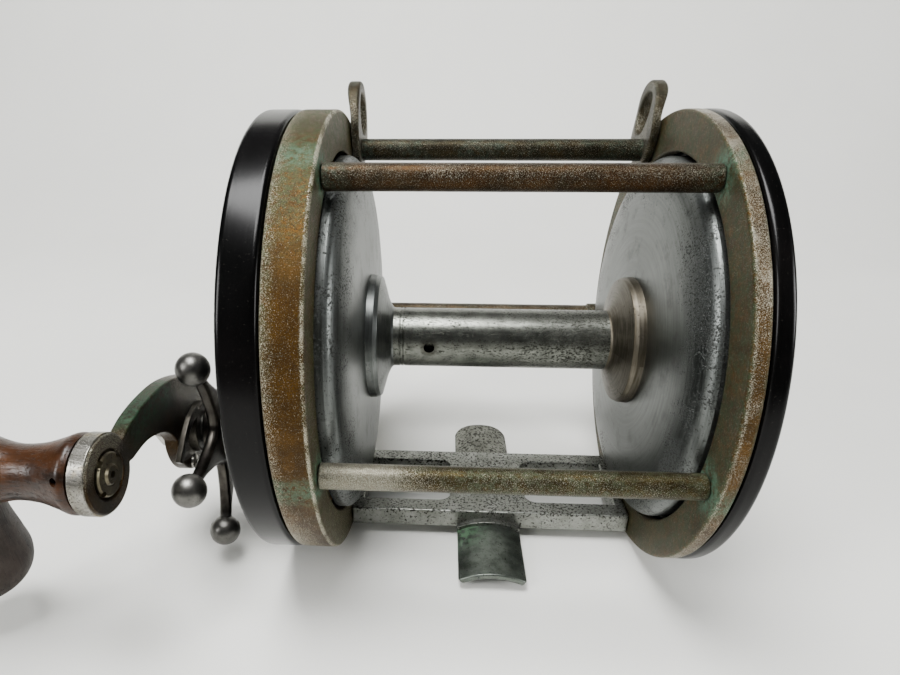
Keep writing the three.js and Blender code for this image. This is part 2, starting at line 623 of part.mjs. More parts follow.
function click() {
  const z = CLICK_REST;
  const stem = [
    [59.2, 0], [59.2, 4], [58.4, 4.6], [55.6, 4.6], [54.9, 4], [54.2, 4], [54.2, 1.9], [47.1, 1.9], [47.1, 0],
  ];
  add("click_button", turned(stem, [0, z], 16), "nickel");
  const shape = new THREE.Shape();
  shape.absarc(0, z, 3.9, radians(150), radians(390), false);
  shape.lineTo(0.5, z + 9);
  shape.lineTo(-0.5, z + 9);
  shape.closePath();
  const bore = new THREE.Path();
  bore.absellipse(0, z, 2.15, 2.15, 0, 2 * Math.PI);
  shape.holes.push(bore);
  add("click_pawl", plate(shape, 47.3, 48.8), "steel");
  const spring = [
    [-4.6, 7], [-4.5, 2], [-4.6, -3], [-3, -6.2], [0, -7.2], [3, -6.2], [4.6, -3], [4.5, 2], [4.6, 7],
  ];
  const points = spring.map(([y, dz]) => [50, y, z + dz]);
  add("click_spring", swept(points, circle(0.4, 4), 18), "steel");
}

sidePlates();
pillars();
harnessLugs();
reelFoot();
spool();
gears();
bridge();
antiReverse();
clutch();
bearings();
starDrag();
crank();
lockFinger();
handle();
click();

const part = new THREE.Group();
part.add(reel);
export default part;
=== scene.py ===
"""Looks of the trolling reel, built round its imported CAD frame.

Shapes are given in the reel's own frame, in millimetres: origin on the spool axis midway between
the rings, +X towards the tail plate, +Y away from the angler's hand, +Z up. to_row() turns them
into the row frame, in metres.
"""
import json
import math

import bmesh
import bpy
from mathutils import Matrix, Vector


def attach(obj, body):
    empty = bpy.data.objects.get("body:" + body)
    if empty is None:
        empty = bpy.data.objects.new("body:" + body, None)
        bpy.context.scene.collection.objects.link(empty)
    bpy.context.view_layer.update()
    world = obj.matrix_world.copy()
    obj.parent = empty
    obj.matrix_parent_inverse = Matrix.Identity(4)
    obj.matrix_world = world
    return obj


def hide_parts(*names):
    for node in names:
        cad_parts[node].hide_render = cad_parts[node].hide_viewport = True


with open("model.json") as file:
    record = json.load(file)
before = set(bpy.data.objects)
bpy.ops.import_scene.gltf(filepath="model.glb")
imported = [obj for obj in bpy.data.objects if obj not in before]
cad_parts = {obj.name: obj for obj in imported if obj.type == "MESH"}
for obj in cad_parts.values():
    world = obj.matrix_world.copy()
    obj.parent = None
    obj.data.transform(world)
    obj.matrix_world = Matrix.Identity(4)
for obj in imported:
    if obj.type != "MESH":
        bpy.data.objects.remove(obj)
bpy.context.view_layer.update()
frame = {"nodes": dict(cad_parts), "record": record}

AXIS = 0.0559  # height of the spool axis in the row frame, in metres
MM = 0.001
HALF_GAP = 44.9  # middle of the reel to a ring's inner face
RING_RADIUS = 63.5
RING_BORE = 53.0
# x of the joint between ring and plate, and of the plate's outer face
HEAD_JOINT, HEAD_FACE = -54.5, -64.0
TAIL_JOINT, TAIL_FACE = 48.9, 53.6
SIDES = (("head", -1, -HEAD_JOINT, -HEAD_FACE), ("tail", 1, TAIL_JOINT, TAIL_FACE))
RING_SEGMENTS, CORNER_STEPS = 192, 5
# angle of each pillar about the spool axis, in degrees
PILLARS = {"front_top": 118.4, "rear_top": 61.6, "front_low": 192.3, "rear_low": 347.7}
PILLAR_PITCH = 57.8  # spool axis to a pillar's middle
SPOOL_SHIFT = 0.7  # how far the spool sits towards the tail
ARBOR_RADIUS = 8.9
# y and z of the axes of the crank, the handle and the free-spool lever
DRIVE = (-15.6241, -24.4308)
BOSS = (-62.3, -9.3)
LEVER = (12.9303, 20.2186)
STAR_X, STAR_REACH, STAR_BALL = -82, 32, 4.55  # the balls: plane, distance from the crank axis, radius
STAR_ARMS, STAR_STEP, STAR_PHASE = 6, 60, 120.8  # angles in degrees
ARM_OUTER, ARM_INNER = -96.4, -92.2  # x of the crank arm's faces
FLOOR = -0.0076  # row z, in metres
LINE_HOLE = (-20.2, -8.7, 0.25)
GRIP_X, GRIP_TILT = -137.3, 98  # the handle bar's middle, and its lean in degrees
OIL_HOLE = (-99.6, -70.5, -5.6)


def to_row(p):
    return Vector((p[0] * MM, p[1] * MM, p[2] * MM + AXIS))


def polar(radius, angle, centre=(0, 0)):
    a = math.radians(angle)
    return centre[0] + radius * math.cos(a), centre[1] + radius * math.sin(a)


# ---- shapes --------------------------------------------------------------------------------


def fillet(points, radius, closed=True):
    """The outline with each corner rounded by up to radius."""
    out, n = [], len(points)
    for i, p in enumerate(points):
        if not closed and i in (0, n - 1):
            out.append(tuple(p))
            continue
        a, b, c = Vector(points[i - 1]), Vector(p), Vector(points[(i + 1) % n])
        before, after = a - b, c - b
        turn = before.angle(after, math.pi)
        if turn > math.radians(172) or before.length < 1e-6 or after.length < 1e-6:
            out.append(tuple(p))
            continue
        cut = min(radius / max(math.tan(turn / 2), 0.2), before.length * 0.45, after.length * 0.45)
        start, end = b + before.normalized() * cut, b + after.normalized() * cut
        for k in range(CORNER_STEPS + 1):
            t = k / CORNER_STEPS
            out.append(tuple(start * (1 - t) ** 2 + b * 2 * t * (1 - t) + end * t * t))
    return out


def smooth(points, steps=6, closed=False):
    """A Catmull-Rom curve through the points."""
    n = len(points)
    out = []
    last = n if closed else n - 1
    for i in range(last):
        near = [k % n if closed else min(max(k, 0), n - 1) for k in range(i - 1, i + 3)]
        a, b, c, d = (Vector(points[k]) for k in near)
        for k in range(steps):
            t = k / steps
            slope, bend, twist = c - a, 2 * a - 5 * b + 4 * c - d, 3 * b - a - 3 * c + d
            out.append(tuple(0.5 * (2 * b + slope * t + bend * t * t + twist * t ** 3)))
    if not closed:
        out.append(tuple(points[-1]))
    return out


def finish_mesh(name, mesh, sharp=38):
    """An object from the mesh, in the row frame, with its faces turned out and its broad faces kept flat."""
    bm = bmesh.new()
    bm.from_mesh(mesh)
    bmesh.ops.remove_doubles(bm, verts=bm.verts, dist=1e-7)
    bmesh.ops.recalc_face_normals(bm, faces=bm.faces)
    bm.to_mesh(mesh)
    bm.free()
    for polygon in mesh.polygons:
        polygon.use_smooth = True
    mesh.set_sharp_from_angle(angle=math.radians(sharp))
    obj = bpy.data.objects.new(name, mesh)
    bpy.context.scene.collection.objects.link(obj)
    return obj


def lathe(name, profile, centre=(0, 0), segments=128, sharp=38):
    """A body turned about an axis along X, from a list of (x, radius). A profile off the axis is closed."""
    on_axis = abs(profile[0][1]) < 1e-9 and abs(profile[-1][1]) < 1e-9
    verts, rows = [], []
    for x, r in profile:
        if r < 1e-9:
            rows.append([len(verts)] * segments)
            verts.append(to_row((x, *centre)))
            continue
        rows.append(list(range(len(verts), len(verts) + segments)))
        for k in range(segments):
            verts.append(to_row((x, *polar(r, 360 * k / segments, centre))))
    faces = []
    pairs = list(zip(rows, rows[1:])) + ([] if on_axis else [(rows[-1], rows[0])])
    for low, high in pairs:
        for k in range(segments):
            m = (k + 1) % segments
            face = []
            for v in (low[k], low[m], high[m], high[k]):
                if v not in face:
                    face.append(v)
            if len(face) > 2:
                faces.append(face)
    mesh = bpy.data.meshes.new(name)
    mesh.from_pydata(verts, [], faces)
    return finish_mesh(name, mesh, sharp)


def mesh_of(obj):
    """The object's shape with its modifiers applied, as a new mesh."""
    deps = bpy.context.evaluated_depsgraph_get()
    return bpy.data.meshes.new_from_object(obj.evaluated_get(deps), depsgraph=deps)


def plate(name, outlines, x0, x1, bevel=0.3):
    """Outlines in the YZ plane, the edge and then any holes, thickened along X with rounded edges."""
    curve = bpy.data.curves.new(name, "CURVE")
    curve.dimensions = "2D"
    curve.fill_mode = "BOTH"
    for outline in outlines:
        spline = curve.splines.new("POLY")
        spline.points.add(len(outline) - 1)
        for point, (y, z) in zip(spline.points, outline):
            point.co = (y * MM, z * MM, 0, 1)
        spline.use_cyclic_u = True
    curve.extrude = ((x1 - x0) / 2 - bevel) * MM
    curve.bevel_depth = bevel * MM
    curve.bevel_resolution = 3
    curve.offset = -bevel * MM
    maker = bpy.data.objects.new(name + "_outline", curve)
    bpy.context.scene.collection.objects.link(maker)
    bpy.context.view_layer.update()
    mesh = mesh_of(maker)
    bpy.data.objects.remove(maker)
    bpy.data.curves.remove(curve)
    mesh.name = name
    middle = (x0 + x1) / 2 * MM
    mesh.transform(Matrix(((0, 0, 1, middle), (1, 0, 0, 0), (0, 1, 0, AXIS), (0, 0, 0, 1))))
    return finish_mesh(name, mesh)


def ball(name, centre, radius):
    mesh = bpy.data.meshes.new(name)
    bm = bmesh.new()
    bmesh.ops.create_uvsphere(bm, u_segments=64, v_segments=32, radius=radius * MM)
    bmesh.ops.translate(bm, vec=to_row(centre), verts=bm.verts)
    bm.to_mesh(mesh)
    bm.free()
    return finish_mesh(name, mesh)


def block(name, low, high):
    mesh = bpy.data.meshes.new(name)
    corners = [(x, y, z) for x in (low[0], high[0]) for y in (low[1], high[1]) for z in (low[2], high[2])]
    faces = [(0, 1, 3, 2), (4, 6, 7, 5), (0, 4, 5, 1), (2, 3, 7, 6), (0, 2, 6, 4), (1, 5, 7, 3)]
    mesh.from_pydata([to_row(c) for c in corners], [], faces)
    return finish_mesh(name, mesh)


def carve(obj, cutters):
    """obj with the cutters cut out of it."""
    for cutter in cutters:
        modifier = obj.modifiers.new("carve", "BOOLEAN")
        modifier.operation = "DIFFERENCE"
        modifier.solver = "EXACT"
        modifier.object = cutter
    bpy.context.view_layer.update()
    mesh = mesh_of(obj)
    name = obj.name
    for cutter in cutters:
        bpy.data.objects.remove(cutter)
    bpy.data.objects.remove(obj)
    mesh.name = name
    return finish_mesh(name, mesh)


def join(name, pieces):
    """Several pieces as one object, overlapping as they are."""
    mesh = bpy.data.meshes.new(name)
    bm = bmesh.new()
    for one in pieces:
        bm.from_mesh(one.data)
        bpy.data.objects.remove(one)
    bm.to_mesh(mesh)
    bm.free()
    return finish_mesh(name, mesh)


def rounded_block(name, low, high, radius):
    obj = block(name, low, high)
    bevel = obj.modifiers.new("round", "BEVEL")
    bevel.width = radius * MM
    bevel.segments = 3
    mesh = mesh_of(obj)
    bpy.data.objects.remove(obj)
    return finish_mesh(name, mesh)


def gusset(x, y, dx, dy, low, high):
    """The rounded inside corner between the web and a bar."""
    radius = 3.8
    outline = [(x, y), (x - dx * radius, y)]
    for k in range(9):
        a = math.radians(90 * k / 8)
        outline.append((x - dx * radius * (1 - math.sin(a)), y - dy * radius * (1 - math.cos(a))))
    outline.append((x, y - dy * radius))
    verts = [to_row((px, py, z)) for z in (low, high) for px, py in outline]
    n = len(outline)
    faces = [list(range(n)), list(range(n, 2 * n))]
    faces += [[k, (k + 1) % n, n + (k + 1) % n, n + k] for k in range(n)]
    mesh = bpy.data.meshes.new("gusset")
    mesh.from_pydata(verts, [], faces)
    return finish_mesh("gusset", mesh)


def turn_to_y(obj):
    """Turns a piece lathed about the spool axis to lie along Y, through the row's origin."""
    obj.data.transform(Matrix.Translation((0, 0, -AXIS)))
    obj.data.transform(Matrix.Rotation(math.radians(90), 4, "Z"))


def show(obj, material, body, *nodes, slot=None):
    """The piece in its material, riding its body and standing for its CAD nodes."""
    obj.data.materials.clear()
    obj.data.materials.append(material)
    flat = obj.modifiers.new("flat_faces", "WEIGHTED_NORMAL")
    flat.keep_sharp = True
    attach(obj, body)
    if nodes:
        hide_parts(*nodes)
    return obj


# ---- materials -----------------------------------------------------------------------------
# Places in the masks of these looks are in the row frame, in metres.


def rgb(code):
    """An sRGB colour such as "7d5f2c" as linear RGBA."""
    parts = [int(code[i:i + 2], 16) / 255 for i in (0, 2, 4)]
    return tuple(c / 12.92 if c < 0.04045 else ((c + 0.055) / 1.055) ** 2.4 for c in parts) + (1.0,)


class Surface:
    """A procedural material over the row frame's coordinates."""

    def __init__(self, name):
        self.material = bpy.data.materials.new(name)
        self.material.use_nodes = True
        self.tree = self.material.node_tree
        self.tree.nodes.clear()
        self.shader = self.tree.nodes.new("ShaderNodeBsdfPrincipled")
        output = self.tree.nodes.new("ShaderNodeOutputMaterial")
        self.tree.links.new(self.shader.outputs[0], output.inputs[0])
        self.at = self.tree.nodes.new("ShaderNodeTexCoord").outputs["Object"]
        split = self.tree.nodes.new("ShaderNodeSeparateXYZ")
        self.tree.links.new(self.at, split.inputs[0])
        self.x, self.y, self.z = split.outputs

    def put(self, socket, value):
        if isinstance(value, bpy.types.NodeSocket):
            self.tree.links.new(value, socket)
        else:
            socket.default_value = value

    def math(self, operation, a, b=0.0):
        node = self.tree.nodes.new("ShaderNodeMath")
        node.operation = operation
        self.put(node.inputs[0], a)
        self.put(node.inputs[1], b)
        return node.outputs[0]

    def vector(self, x, y, z):
        node = self.tree.nodes.new("ShaderNodeCombineXYZ")
        for socket, value in zip(node.inputs, (x, y, z)):
            self.put(socket, value)
        return node.outputs[0]

    def scaled(self, stretch, at=None):
        node = self.tree.nodes.new("ShaderNodeMapping")
        node.inputs["Scale"].default_value = stretch
        self.put(node.inputs["Vector"], at or self.at)
        return node.outputs[0]

    def noise(self, scale, detail=6.0, rough=0.6, stretch=None, at=None, distortion=0.0):
        """Cloudy noise; scale is features per metre."""
        node = self.tree.nodes.new("ShaderNodeTexNoise")
        node.inputs["Scale"].default_value = scale
        node.inputs["Detail"].default_value = detail
        node.inputs["Roughness"].default_value = rough
        node.inputs["Distortion"].default_value = distortion
        self.put(node.inputs["Vector"], self.scaled(stretch, at) if stretch else (at or self.at))
        return node.outputs[0]

    def step(self, value, low, high, start=0.0, end=1.0):
        """A soft step from start to end as value goes from low to high."""
        node = self.tree.nodes.new("ShaderNodeMapRange")
        node.interpolation_type = "SMOOTHSTEP"
        for socket, v in zip(node.inputs, (value, low, high, start, end)):
            self.put(socket, v)
        return node.outputs[0]

    def mix(self, fac, a, b):
        node = self.tree.nodes.new("ShaderNodeMix")
        node.data_type = "RGBA"
        self.put(node.inputs[0], fac)
        self.put(node.inputs[6], a)
        self.put(node.inputs[7], b)
        return node.outputs[2]

    def blend(self, fac, a, b):
        node = self.tree.nodes.new("ShaderNodeMix")
        self.put(node.inputs[0], fac)
        self.put(node.inputs[2], a)
        self.put(node.inputs[3], b)
        return node.outputs[0]

    def mul(self, *values):
        out = values[0]
        for value in values[1:]:
            out = self.math("MULTIPLY", out, value)
        return out

    def add(self, *values):
        out = values[0]
        for value in values[1:]:
            out = self.math("ADD", out, value)
        return out

    def away(self, centre=(0, 0)):
        """Distance in metres from an axis along X."""
        y = self.math("SUBTRACT", self.y, centre[0] * MM)
        z = self.math("SUBTRACT", self.z, centre[1] * MM + AXIS)
        squares = self.add(self.mul(y, y), self.mul(z, z))
        return self.math("SQRT", squares)

    def around(self):
        """Angle about the spool axis, in radians."""
        return self.math("ARCTAN2", self.math("SUBTRACT", self.z, AXIS), self.y)

    def bump(self, height, depth):
        node = self.tree.nodes.new("ShaderNodeBump")
        node.inputs["Distance"].default_value = depth
        node.inputs["Strength"].default_value = 1.0
        self.put(node.inputs["Height"], height)
        self.tree.links.new(node.outputs[0], self.shader.inputs["Normal"])

    def finish(self, color, roughness, metallic):
        self.put(self.shader.inputs["Base Color"], color)
        self.put(self.shader.inputs["Roughness"], roughness)
        self.put(self.shader.inputs["Metallic"], metallic)
        return self.material


def patina(name, base, dark, green, green_mask, silver_mask, silver="9a9686", rough=0.42, shine=0.85,
           salt_mask=None):
    """Worn plate over tarnished brass. The masks are functions of the surface that return sockets."""
    s = Surface(name)
    cloud = s.noise(160, 8, 0.7)
    color = s.mix(s.step(cloud, 0.38, 0.62, 0.3, 1.0), rgb(dark), rgb(base))
    fine = s.noise(3800, 4, 0.7)
    dirt = s.step(fine, 0.42, 0.6, 0.0, 0.75)
    color = s.mix(dirt, color, rgb(dark))
    greenish = s.mul(green_mask(s), s.step(s.noise(700, 7, 0.72), 0.38, 0.6))
    color = s.mix(greenish, color, s.mix(dirt, rgb(green), rgb(dark)))
    if salt_mask:
        salt = s.mul(salt_mask(s), s.step(s.noise(900, 6, 0.74), 0.4, 0.58))
        color = s.mix(salt, color, rgb("4a6853"))
        greenish = s.math("MAXIMUM", greenish, salt)
    grain = s.noise(4600, 4, 0.72)
    region = silver_mask(s)
    speck = s.step(s.add(grain, s.mul(region, 0.17)), 0.6, 0.69)
    speck = s.math("MAXIMUM", speck, s.step(region, 0.7, 1.0, 0.0, 0.7))
    color = s.mix(s.mul(speck, 0.9), color, rgb(silver))
    pits = s.step(s.noise(5200, 3, 0.55), 0.56, 0.66)
    color = s.mix(s.mul(pits, 0.7), color, rgb("17110a"))
    roughness = s.add(s.blend(speck, rough, 0.28), s.mul(s.noise(400, 4), 0.12), s.mul(greenish, 0.15))
    metallic = s.blend(greenish, shine, 0.5)
    s.bump(s.add(s.mul(fine, 0.7), s.mul(speck, 0.4), s.mul(pits, -0.7)), 0.00008)
    return s.finish(color, roughness, metallic)


def near_pillars(s):
    """Bright verdigris round the ends of the two front pillars."""
    spots = [s.away(polar(PILLAR_PITCH, PILLARS[name])) for name in ("front_top", "front_low")]
    return s.step(s.math("MINIMUM", *spots), 0.0085, 0.0038)


def head_ring_look():
    def green(s):
        high = s.mul(s.step(s.z, AXIS + 0.03, AXIS + 0.058), 0.95)
        face = s.mul(s.step(s.x, -0.0464, -0.0448), 0.8)
        joint = s.mul(s.step(s.x, -0.0505, -0.0545), s.step(s.z, AXIS - 0.005, AXIS + 0.04))
        return s.math("MAXIMUM", s.math("MAXIMUM", high, face), joint)

    def silver(s):
        low = s.mul(s.step(s.z, AXIS - 0.012, AXIS - 0.038), 0.66)
        joint = s.mul(s.step(s.x, -0.0498, -0.0545), 0.55)
        # painted highlight: silver along the rounded edge between the inner face and the rim, standing in
        # for the light caught on that edge
        corner = s.mul(s.step(s.x, -0.0460, -0.0455), s.step(s.away(), 0.0622, 0.0632))
        corner = s.mul(corner, s.step(s.noise(180, 4), 0.35, 0.6, 0.35, 0.85))
        low = s.mul(low, s.step(s.x, -0.0455, -0.0505, 0.35, 1.0))
        return s.math("MAXIMUM", s.add(low, s.mul(joint, 0.4)), s.math("MAXIMUM", joint, corner))

    return patina("ring_head", "50360b", "291c06", "35451f", green, silver, "bcb7a2", salt_mask=near_pillars)


def tail_ring_look():
    def green(s):
        inside = s.mul(s.step(s.x, 0.0463, 0.0450), 0.85)
        joint = s.mul(s.step(s.x, 0.0474, 0.0489), 0.9)
        return s.math("MAXIMUM", inside, joint)

    def silver(s):
        outside = s.step(s.x, 0.0449, 0.0455)
        ends = s.math("ABSOLUTE", s.math("SUBTRACT", s.z, AXIS + 0.002))
        worn = s.step(ends, 0.008, 0.042, 0.1, 0.6)
        # painted highlight: silver along the rounded edge between the inner face and the rim, standing in
        # for the light caught on that edge
        corner = s.mul(s.step(s.x, 0.0463, 0.0457), s.step(s.away(), 0.0620, 0.0631), 0.6)
        patches = s.mul(s.step(s.noise(110, 5), 0.42, 0.62), 0.3)
        return s.mul(s.math("MAXIMUM", s.add(worn, patches), corner), outside)

    return patina("ring_tail", "5a3f15", "2b200b", "2c4229", green, silver, "b5b09e", salt_mask=near_pillars)


def pillar_look(name, base, dark, green, green_amount, silver_amount, on_top=False, bright_end=0.0):
    """Verdigris at both ends. on_top keeps flecks mostly above, bright_end adds some at the head end."""
    centre = polar(PILLAR_PITCH, PILLARS[name])[1] * MM + AXIS

    def greenish(s):
        ends = s.step(s.math("ABSOLUTE", s.x), 0.034, 0.0445)
        return s.math("MAXIMUM", ends, s.mul(s.step(s.noise(110, 5), 0.35, 0.6), green_amount))

    def silver(s):
        along = s.step(s.noise(90, 4, 0.6, stretch=(1, 0.4, 0.4)), 0.38, 0.64, 0.5, 1.0)
        side = s.step(s.z, centre - 0.001, centre + 0.002, 0.4, 1.0) if on_top else 1.0
        flecks = s.mul(along, silver_amount, side)
        return s.math("MAXIMUM", flecks, s.mul(s.step(s.x, -0.006, -0.03), bright_end))

    return patina("pillar_" + name, base, dark, green, greenish, silver, rough=0.32, shine=0.92)


def lug_look():
    def greenish(s):
        return s.mul(s.step(s.noise(120, 4), 0.35, 0.6), 0.6)

    def silver(s):
        return s.add(0.1, s.mul(s.step(s.noise(150, 5), 0.4, 0.62), 0.5))

    return patina("lug_patina", "433823", "1b180f", "2f3a2b", greenish, silver, rough=0.36, shine=0.88)


def ebonite_look():
    s = Surface("ebonite")
    cloud = s.noise(45, 6)
    color = s.mix(s.step(cloud, 0.4, 0.7), rgb("020202"), rgb("070606"))
    dust = s.step(s.noise(3000, 2, 0.5), 0.7, 0.76)
    color = s.mix(s.mul(dust, 0.2), color, rgb("6f6c63"))
    lines_at = s.vector(s.mul(s.x, 2500.0), s.mul(s.around(), 1.2), s.mul(s.away(), 900.0))
    turned = s.noise(1.0, 3, 0.6, at=lines_at)
    roughness = s.add(0.16, s.mul(cloud, 0.07), s.mul(turned, 0.04))
    s.bump(s.add(s.mul(turned, 0.3), s.mul(s.noise(700, 3), 0.3)), 0.000012)
    s.shader.inputs["Specular IOR Level"].default_value = 0.13
    return s.finish(color, roughness, 0.0)


def turned_metal(name, light, mid, dark, rough, pit_mask, lines=1500.0, pit_size=1500, anisotropic=0.0):
    """Bare metal with turning lines about the spool axis, dark pits and stains, and a painted fan-shaped
    sheen.
    """
    s = Surface(name)
    r = s.away()
    turn = s.around()
    lines_at = s.vector(s.mul(r, lines), s.mul(turn, 1.5), s.mul(s.x, lines * 0.5))
    ring = s.noise(1.0, 4, 0.65, at=lines_at)
    # painted sheen: fan-shaped sectors round the axis, some darkened towards the mid tone, standing in for
    # the fans of light on a turned face
    painted_fan_sheen = s.noise(1.0, 3, 0.5, at=s.vector(s.mul(turn, 2.2), s.mul(r, 25.0), 3.0))
    color = s.mix(s.step(ring, 0.3, 0.7), rgb(mid), rgb(light))
    color = s.mix(s.step(painted_fan_sheen, 0.4, 0.65, 0.0, 0.4), color, rgb(mid))
    grain = s.noise(pit_size, 5, 0.7)
    scarce = s.mul(s.math("SUBTRACT", 1.0, pit_mask(s)), 0.22)
    pits = s.step(s.math("SUBTRACT", grain, scarce), 0.49, 0.56)
    color = s.mix(s.mul(pits, 0.7), color, rgb(dark))
    stain = s.mul(s.step(s.noise(130, 7, 0.7), 0.5, 0.7), 0.45)
    color = s.mix(s.mul(stain, s.step(s.z, AXIS - 0.02, AXIS + 0.05, 0.35, 1.0)), color, rgb(dark))
    roughness = s.add(rough, s.mul(ring, 0.12), s.mul(pits, 0.3), s.mul(stain, 0.15))
    s.bump(s.add(s.mul(ring, 0.5), s.mul(pits, -1.0)), 0.00003)
    if anisotropic:
        s.shader.inputs["Anisotropic"].default_value = anisotropic
        tangent = s.tree.nodes.new("ShaderNodeTangent")
        tangent.direction_type = "RADIAL"
        tangent.axis = "X"
        s.tree.links.new(tangent.outputs[0], s.shader.inputs["Tangent"])
    return s.finish(color, roughness, 1.0)


def arbor_look():
    """Dull steel with fine dark specks, thickest towards the tail, and a worn ring round the line hole."""
    s = Surface("arbor_steel")
    cloud = s.noise(260, 7, 0.72)
    color = s.mix(s.step(cloud, 0.36, 0.66), rgb("5c5e58"), rgb("777972"))
    grain = s.noise(2300, 5, 0.72, stretch=(0.6, 1, 1))
    tailward = s.step(s.x, -0.012, 0.03, 0.25, 0.6)
    dense = s.add(tailward, s.mul(s.step(s.noise(140, 4), 0.4, 0.66), 0.4))
    pits = s.step(s.add(grain, s.mul(dense, 0.13)), 0.6, 0.67)
    color = s.mix(s.mul(pits, 0.8), color, rgb("1c1a15"))
    hole_x = s.math("SUBTRACT", s.x, LINE_HOLE[0] * MM)
    hole_z = s.math("SUBTRACT", s.z, LINE_HOLE[2] * MM + AXIS)
    worn = s.step(s.math("SQRT", s.add(s.mul(hole_x, hole_x), s.mul(hole_z, hole_z))), 0.0032, 0.002)
    color = s.mix(s.mul(worn, 0.55), color, rgb("302d26"))
    roughness = s.add(0.24, s.mul(cloud, 0.1), s.mul(pits, 0.25))
    s.bump(s.add(s.mul(pits, -1.0), s.mul(cloud, 0.2)), 0.00003)
    return s.finish(color, roughness, 1.0)


def plain_metal(name, light, dark, rough, pit=0.3, pit_size=1200, tint=None):
    """Worn metal with soft stains, scratches and dark pits."""
    s = Surface(name)
    cloud = s.noise(90, 7, 0.62)
    color = s.mix(s.step(cloud, 0.35, 0.68), rgb(dark), rgb(light))
    if tint:
        color = s.mix(s.step(s.noise(140, 5), 0.52, 0.7, 0.0, 0.7), color, rgb(tint))
    scratch = s.noise(500, 3, 0.6, stretch=(1, 12, 0.6))
    grain = s.noise(pit_size, 5, 0.72)
    pits = s.step(grain, 0.66 - 0.22 * pit, 0.72 - 0.2 * pit)
    color = s.mix(s.mul(pits, 0.75), color, rgb("2a2723"))
    roughness = s.add(rough, s.mul(cloud, 0.1), s.mul(pits, 0.3), s.mul(scratch, 0.08))
    s.bump(s.add(s.mul(scratch, 0.25), s.mul(pits, -0.9)), 0.00003)
    return s.finish(color, roughness, 1.0)


def foot_look(name, light, dark, spot, spots, size=1500, patch=None):
    """Nickelled steel with scattered pits; spots is how many, patch adds verdigris at a tongue's root."""
    s = Surface(name)
    cloud = s.noise(200, 7, 0.7)
    color = s.mix(s.step(cloud, 0.35, 0.65), rgb(dark), rgb(light))
    upward = s.step(s.z, AXIS - 0.0552, AXIS - 0.0540, 0.0, 0.35)
    dense = s.add(spots, upward, s.mul(s.step(s.noise(130, 4), 0.4, 0.64), 0.3))
    pits = s.step(s.add(s.noise(size, 5, 0.68), s.mul(dense, 0.15)), 0.6, 0.67)
    color = s.mix(s.mul(pits, 0.85), color, rgb(spot))
    metallic = 0.95
    if patch:
        near = s.mul(s.step(s.x, 0.003, -0.009), s.step(s.y, -0.034, -0.019))
        verdigris = s.mul(near, s.step(s.noise(600, 6, 0.75), 0.44, 0.54))
        color = s.mix(verdigris, color, rgb(patch))
        metallic = s.blend(verdigris, 0.95, 0.1)
    roughness = s.add(0.27, s.mul(cloud, 0.12), s.mul(pits, 0.3))
    s.bump(s.add(s.mul(pits, -1.0), s.mul(cloud, 0.3)), 0.00005)
    return s.finish(color, roughness, metallic)


def crank_look():
    """Green along the middle of the top edge, silvery towards both ends, dark brown on the faces."""
    def green(s):
        edge = s.step(s.z, AXIS - 0.0135, AXIS - 0.006)
        middle = s.mul(s.step(s.y, -0.054, -0.047), s.step(s.y, -0.022, -0.029))
        return s.mul(edge, middle)

    def silver(s):
        near_boss = s.mul(s.step(s.y, -0.050, -0.0545), s.step(s.z, AXIS - 0.009, AXIS - 0.004))
        near_hub = s.mul(s.step(s.y, -0.027, -0.021), 0.55)
        return s.math("MAXIMUM", s.mul(near_boss, 0.7), s.mul(near_hub, 0.8))

    return patina("crank_patina", "38270e", "0f0c07", "2f5238", green, silver, "9a9888",
                  rough=0.34, shine=0.88)


def star_look():
    s = Surface("star_steel")
    bright = s.step(s.away(DRIVE), 0.0262, 0.0285)
    cloud = s.noise(120, 6)
    dark = s.mix(s.step(cloud, 0.35, 0.7), rgb("2c2926"), rgb("4d4a45"))
    light = s.mix(s.step(cloud, 0.35, 0.7), rgb("545350"), rgb("706f6b"))
    color = s.mix(bright, dark, light)
    pits = s.step(s.noise(2400, 5, 0.7), 0.59, 0.66)
    color = s.mix(s.mul(pits, 0.7), color, rgb("1f1c17"))
    roughness = s.add(s.blend(bright, 0.25, 0.33), s.mul(cloud, 0.08), s.mul(pits, 0.2))
    s.bump(s.mul(pits, -1.0), 0.00003)
    return s.finish(color, roughness, 1.0)


def wood_look(name, light, mid, dark, along, gloss, shine):
    """Varnished hardwood. along is the grain's direction, "x" or "z"."""
    s = Surface(name)
    grain = s.noise(420, 6, 0.6, stretch=(0.12, 1, 1) if along == "x" else (1, 1, 0.12), distortion=0.6)
    pores = s.noise(2600, 3, 0.6, stretch=(0.06, 1, 1) if along == "x" else (1, 1, 0.06))
    color = s.mix(s.step(grain, 0.32, 0.62), rgb(dark), rgb(mid))
    color = s.mix(s.step(s.noise(80, 6), 0.45, 0.7), color, rgb(light))
    lines = s.step(pores, 0.58, 0.66)
    color = s.mix(s.mul(lines, 0.55), color, rgb(dark))
    scuff = s.step(s.noise(900, 5, 0.75, distortion=1.0), 0.6, 0.66)
    color = s.mix(s.mul(scuff, 0.7), color, rgb("120b08"))
    roughness = s.add(gloss, s.mul(s.noise(300, 4), 0.16), s.mul(lines, 0.12))
    lumps = s.noise(420, 4, 0.6)
    s.bump(s.add(s.mul(grain, 0.25), s.mul(lines, -0.4), lumps), 0.00016)
    s.shader.inputs["Specular IOR Level"].default_value = shine
    return s.finish(color, roughness, 0.0)


def fibre_look():
    s = Surface("pressed_fibre")
    color = s.mix(s.step(s.noise(2000, 5, 0.7), 0.4, 0.6), rgb("2b1f16"), rgb("4a3726"))
    s.bump(s.noise(1500, 5), 0.00005)
    return s.finish(color, s.add(0.75, s.mul(s.noise(300), 0.2)), 0.0)


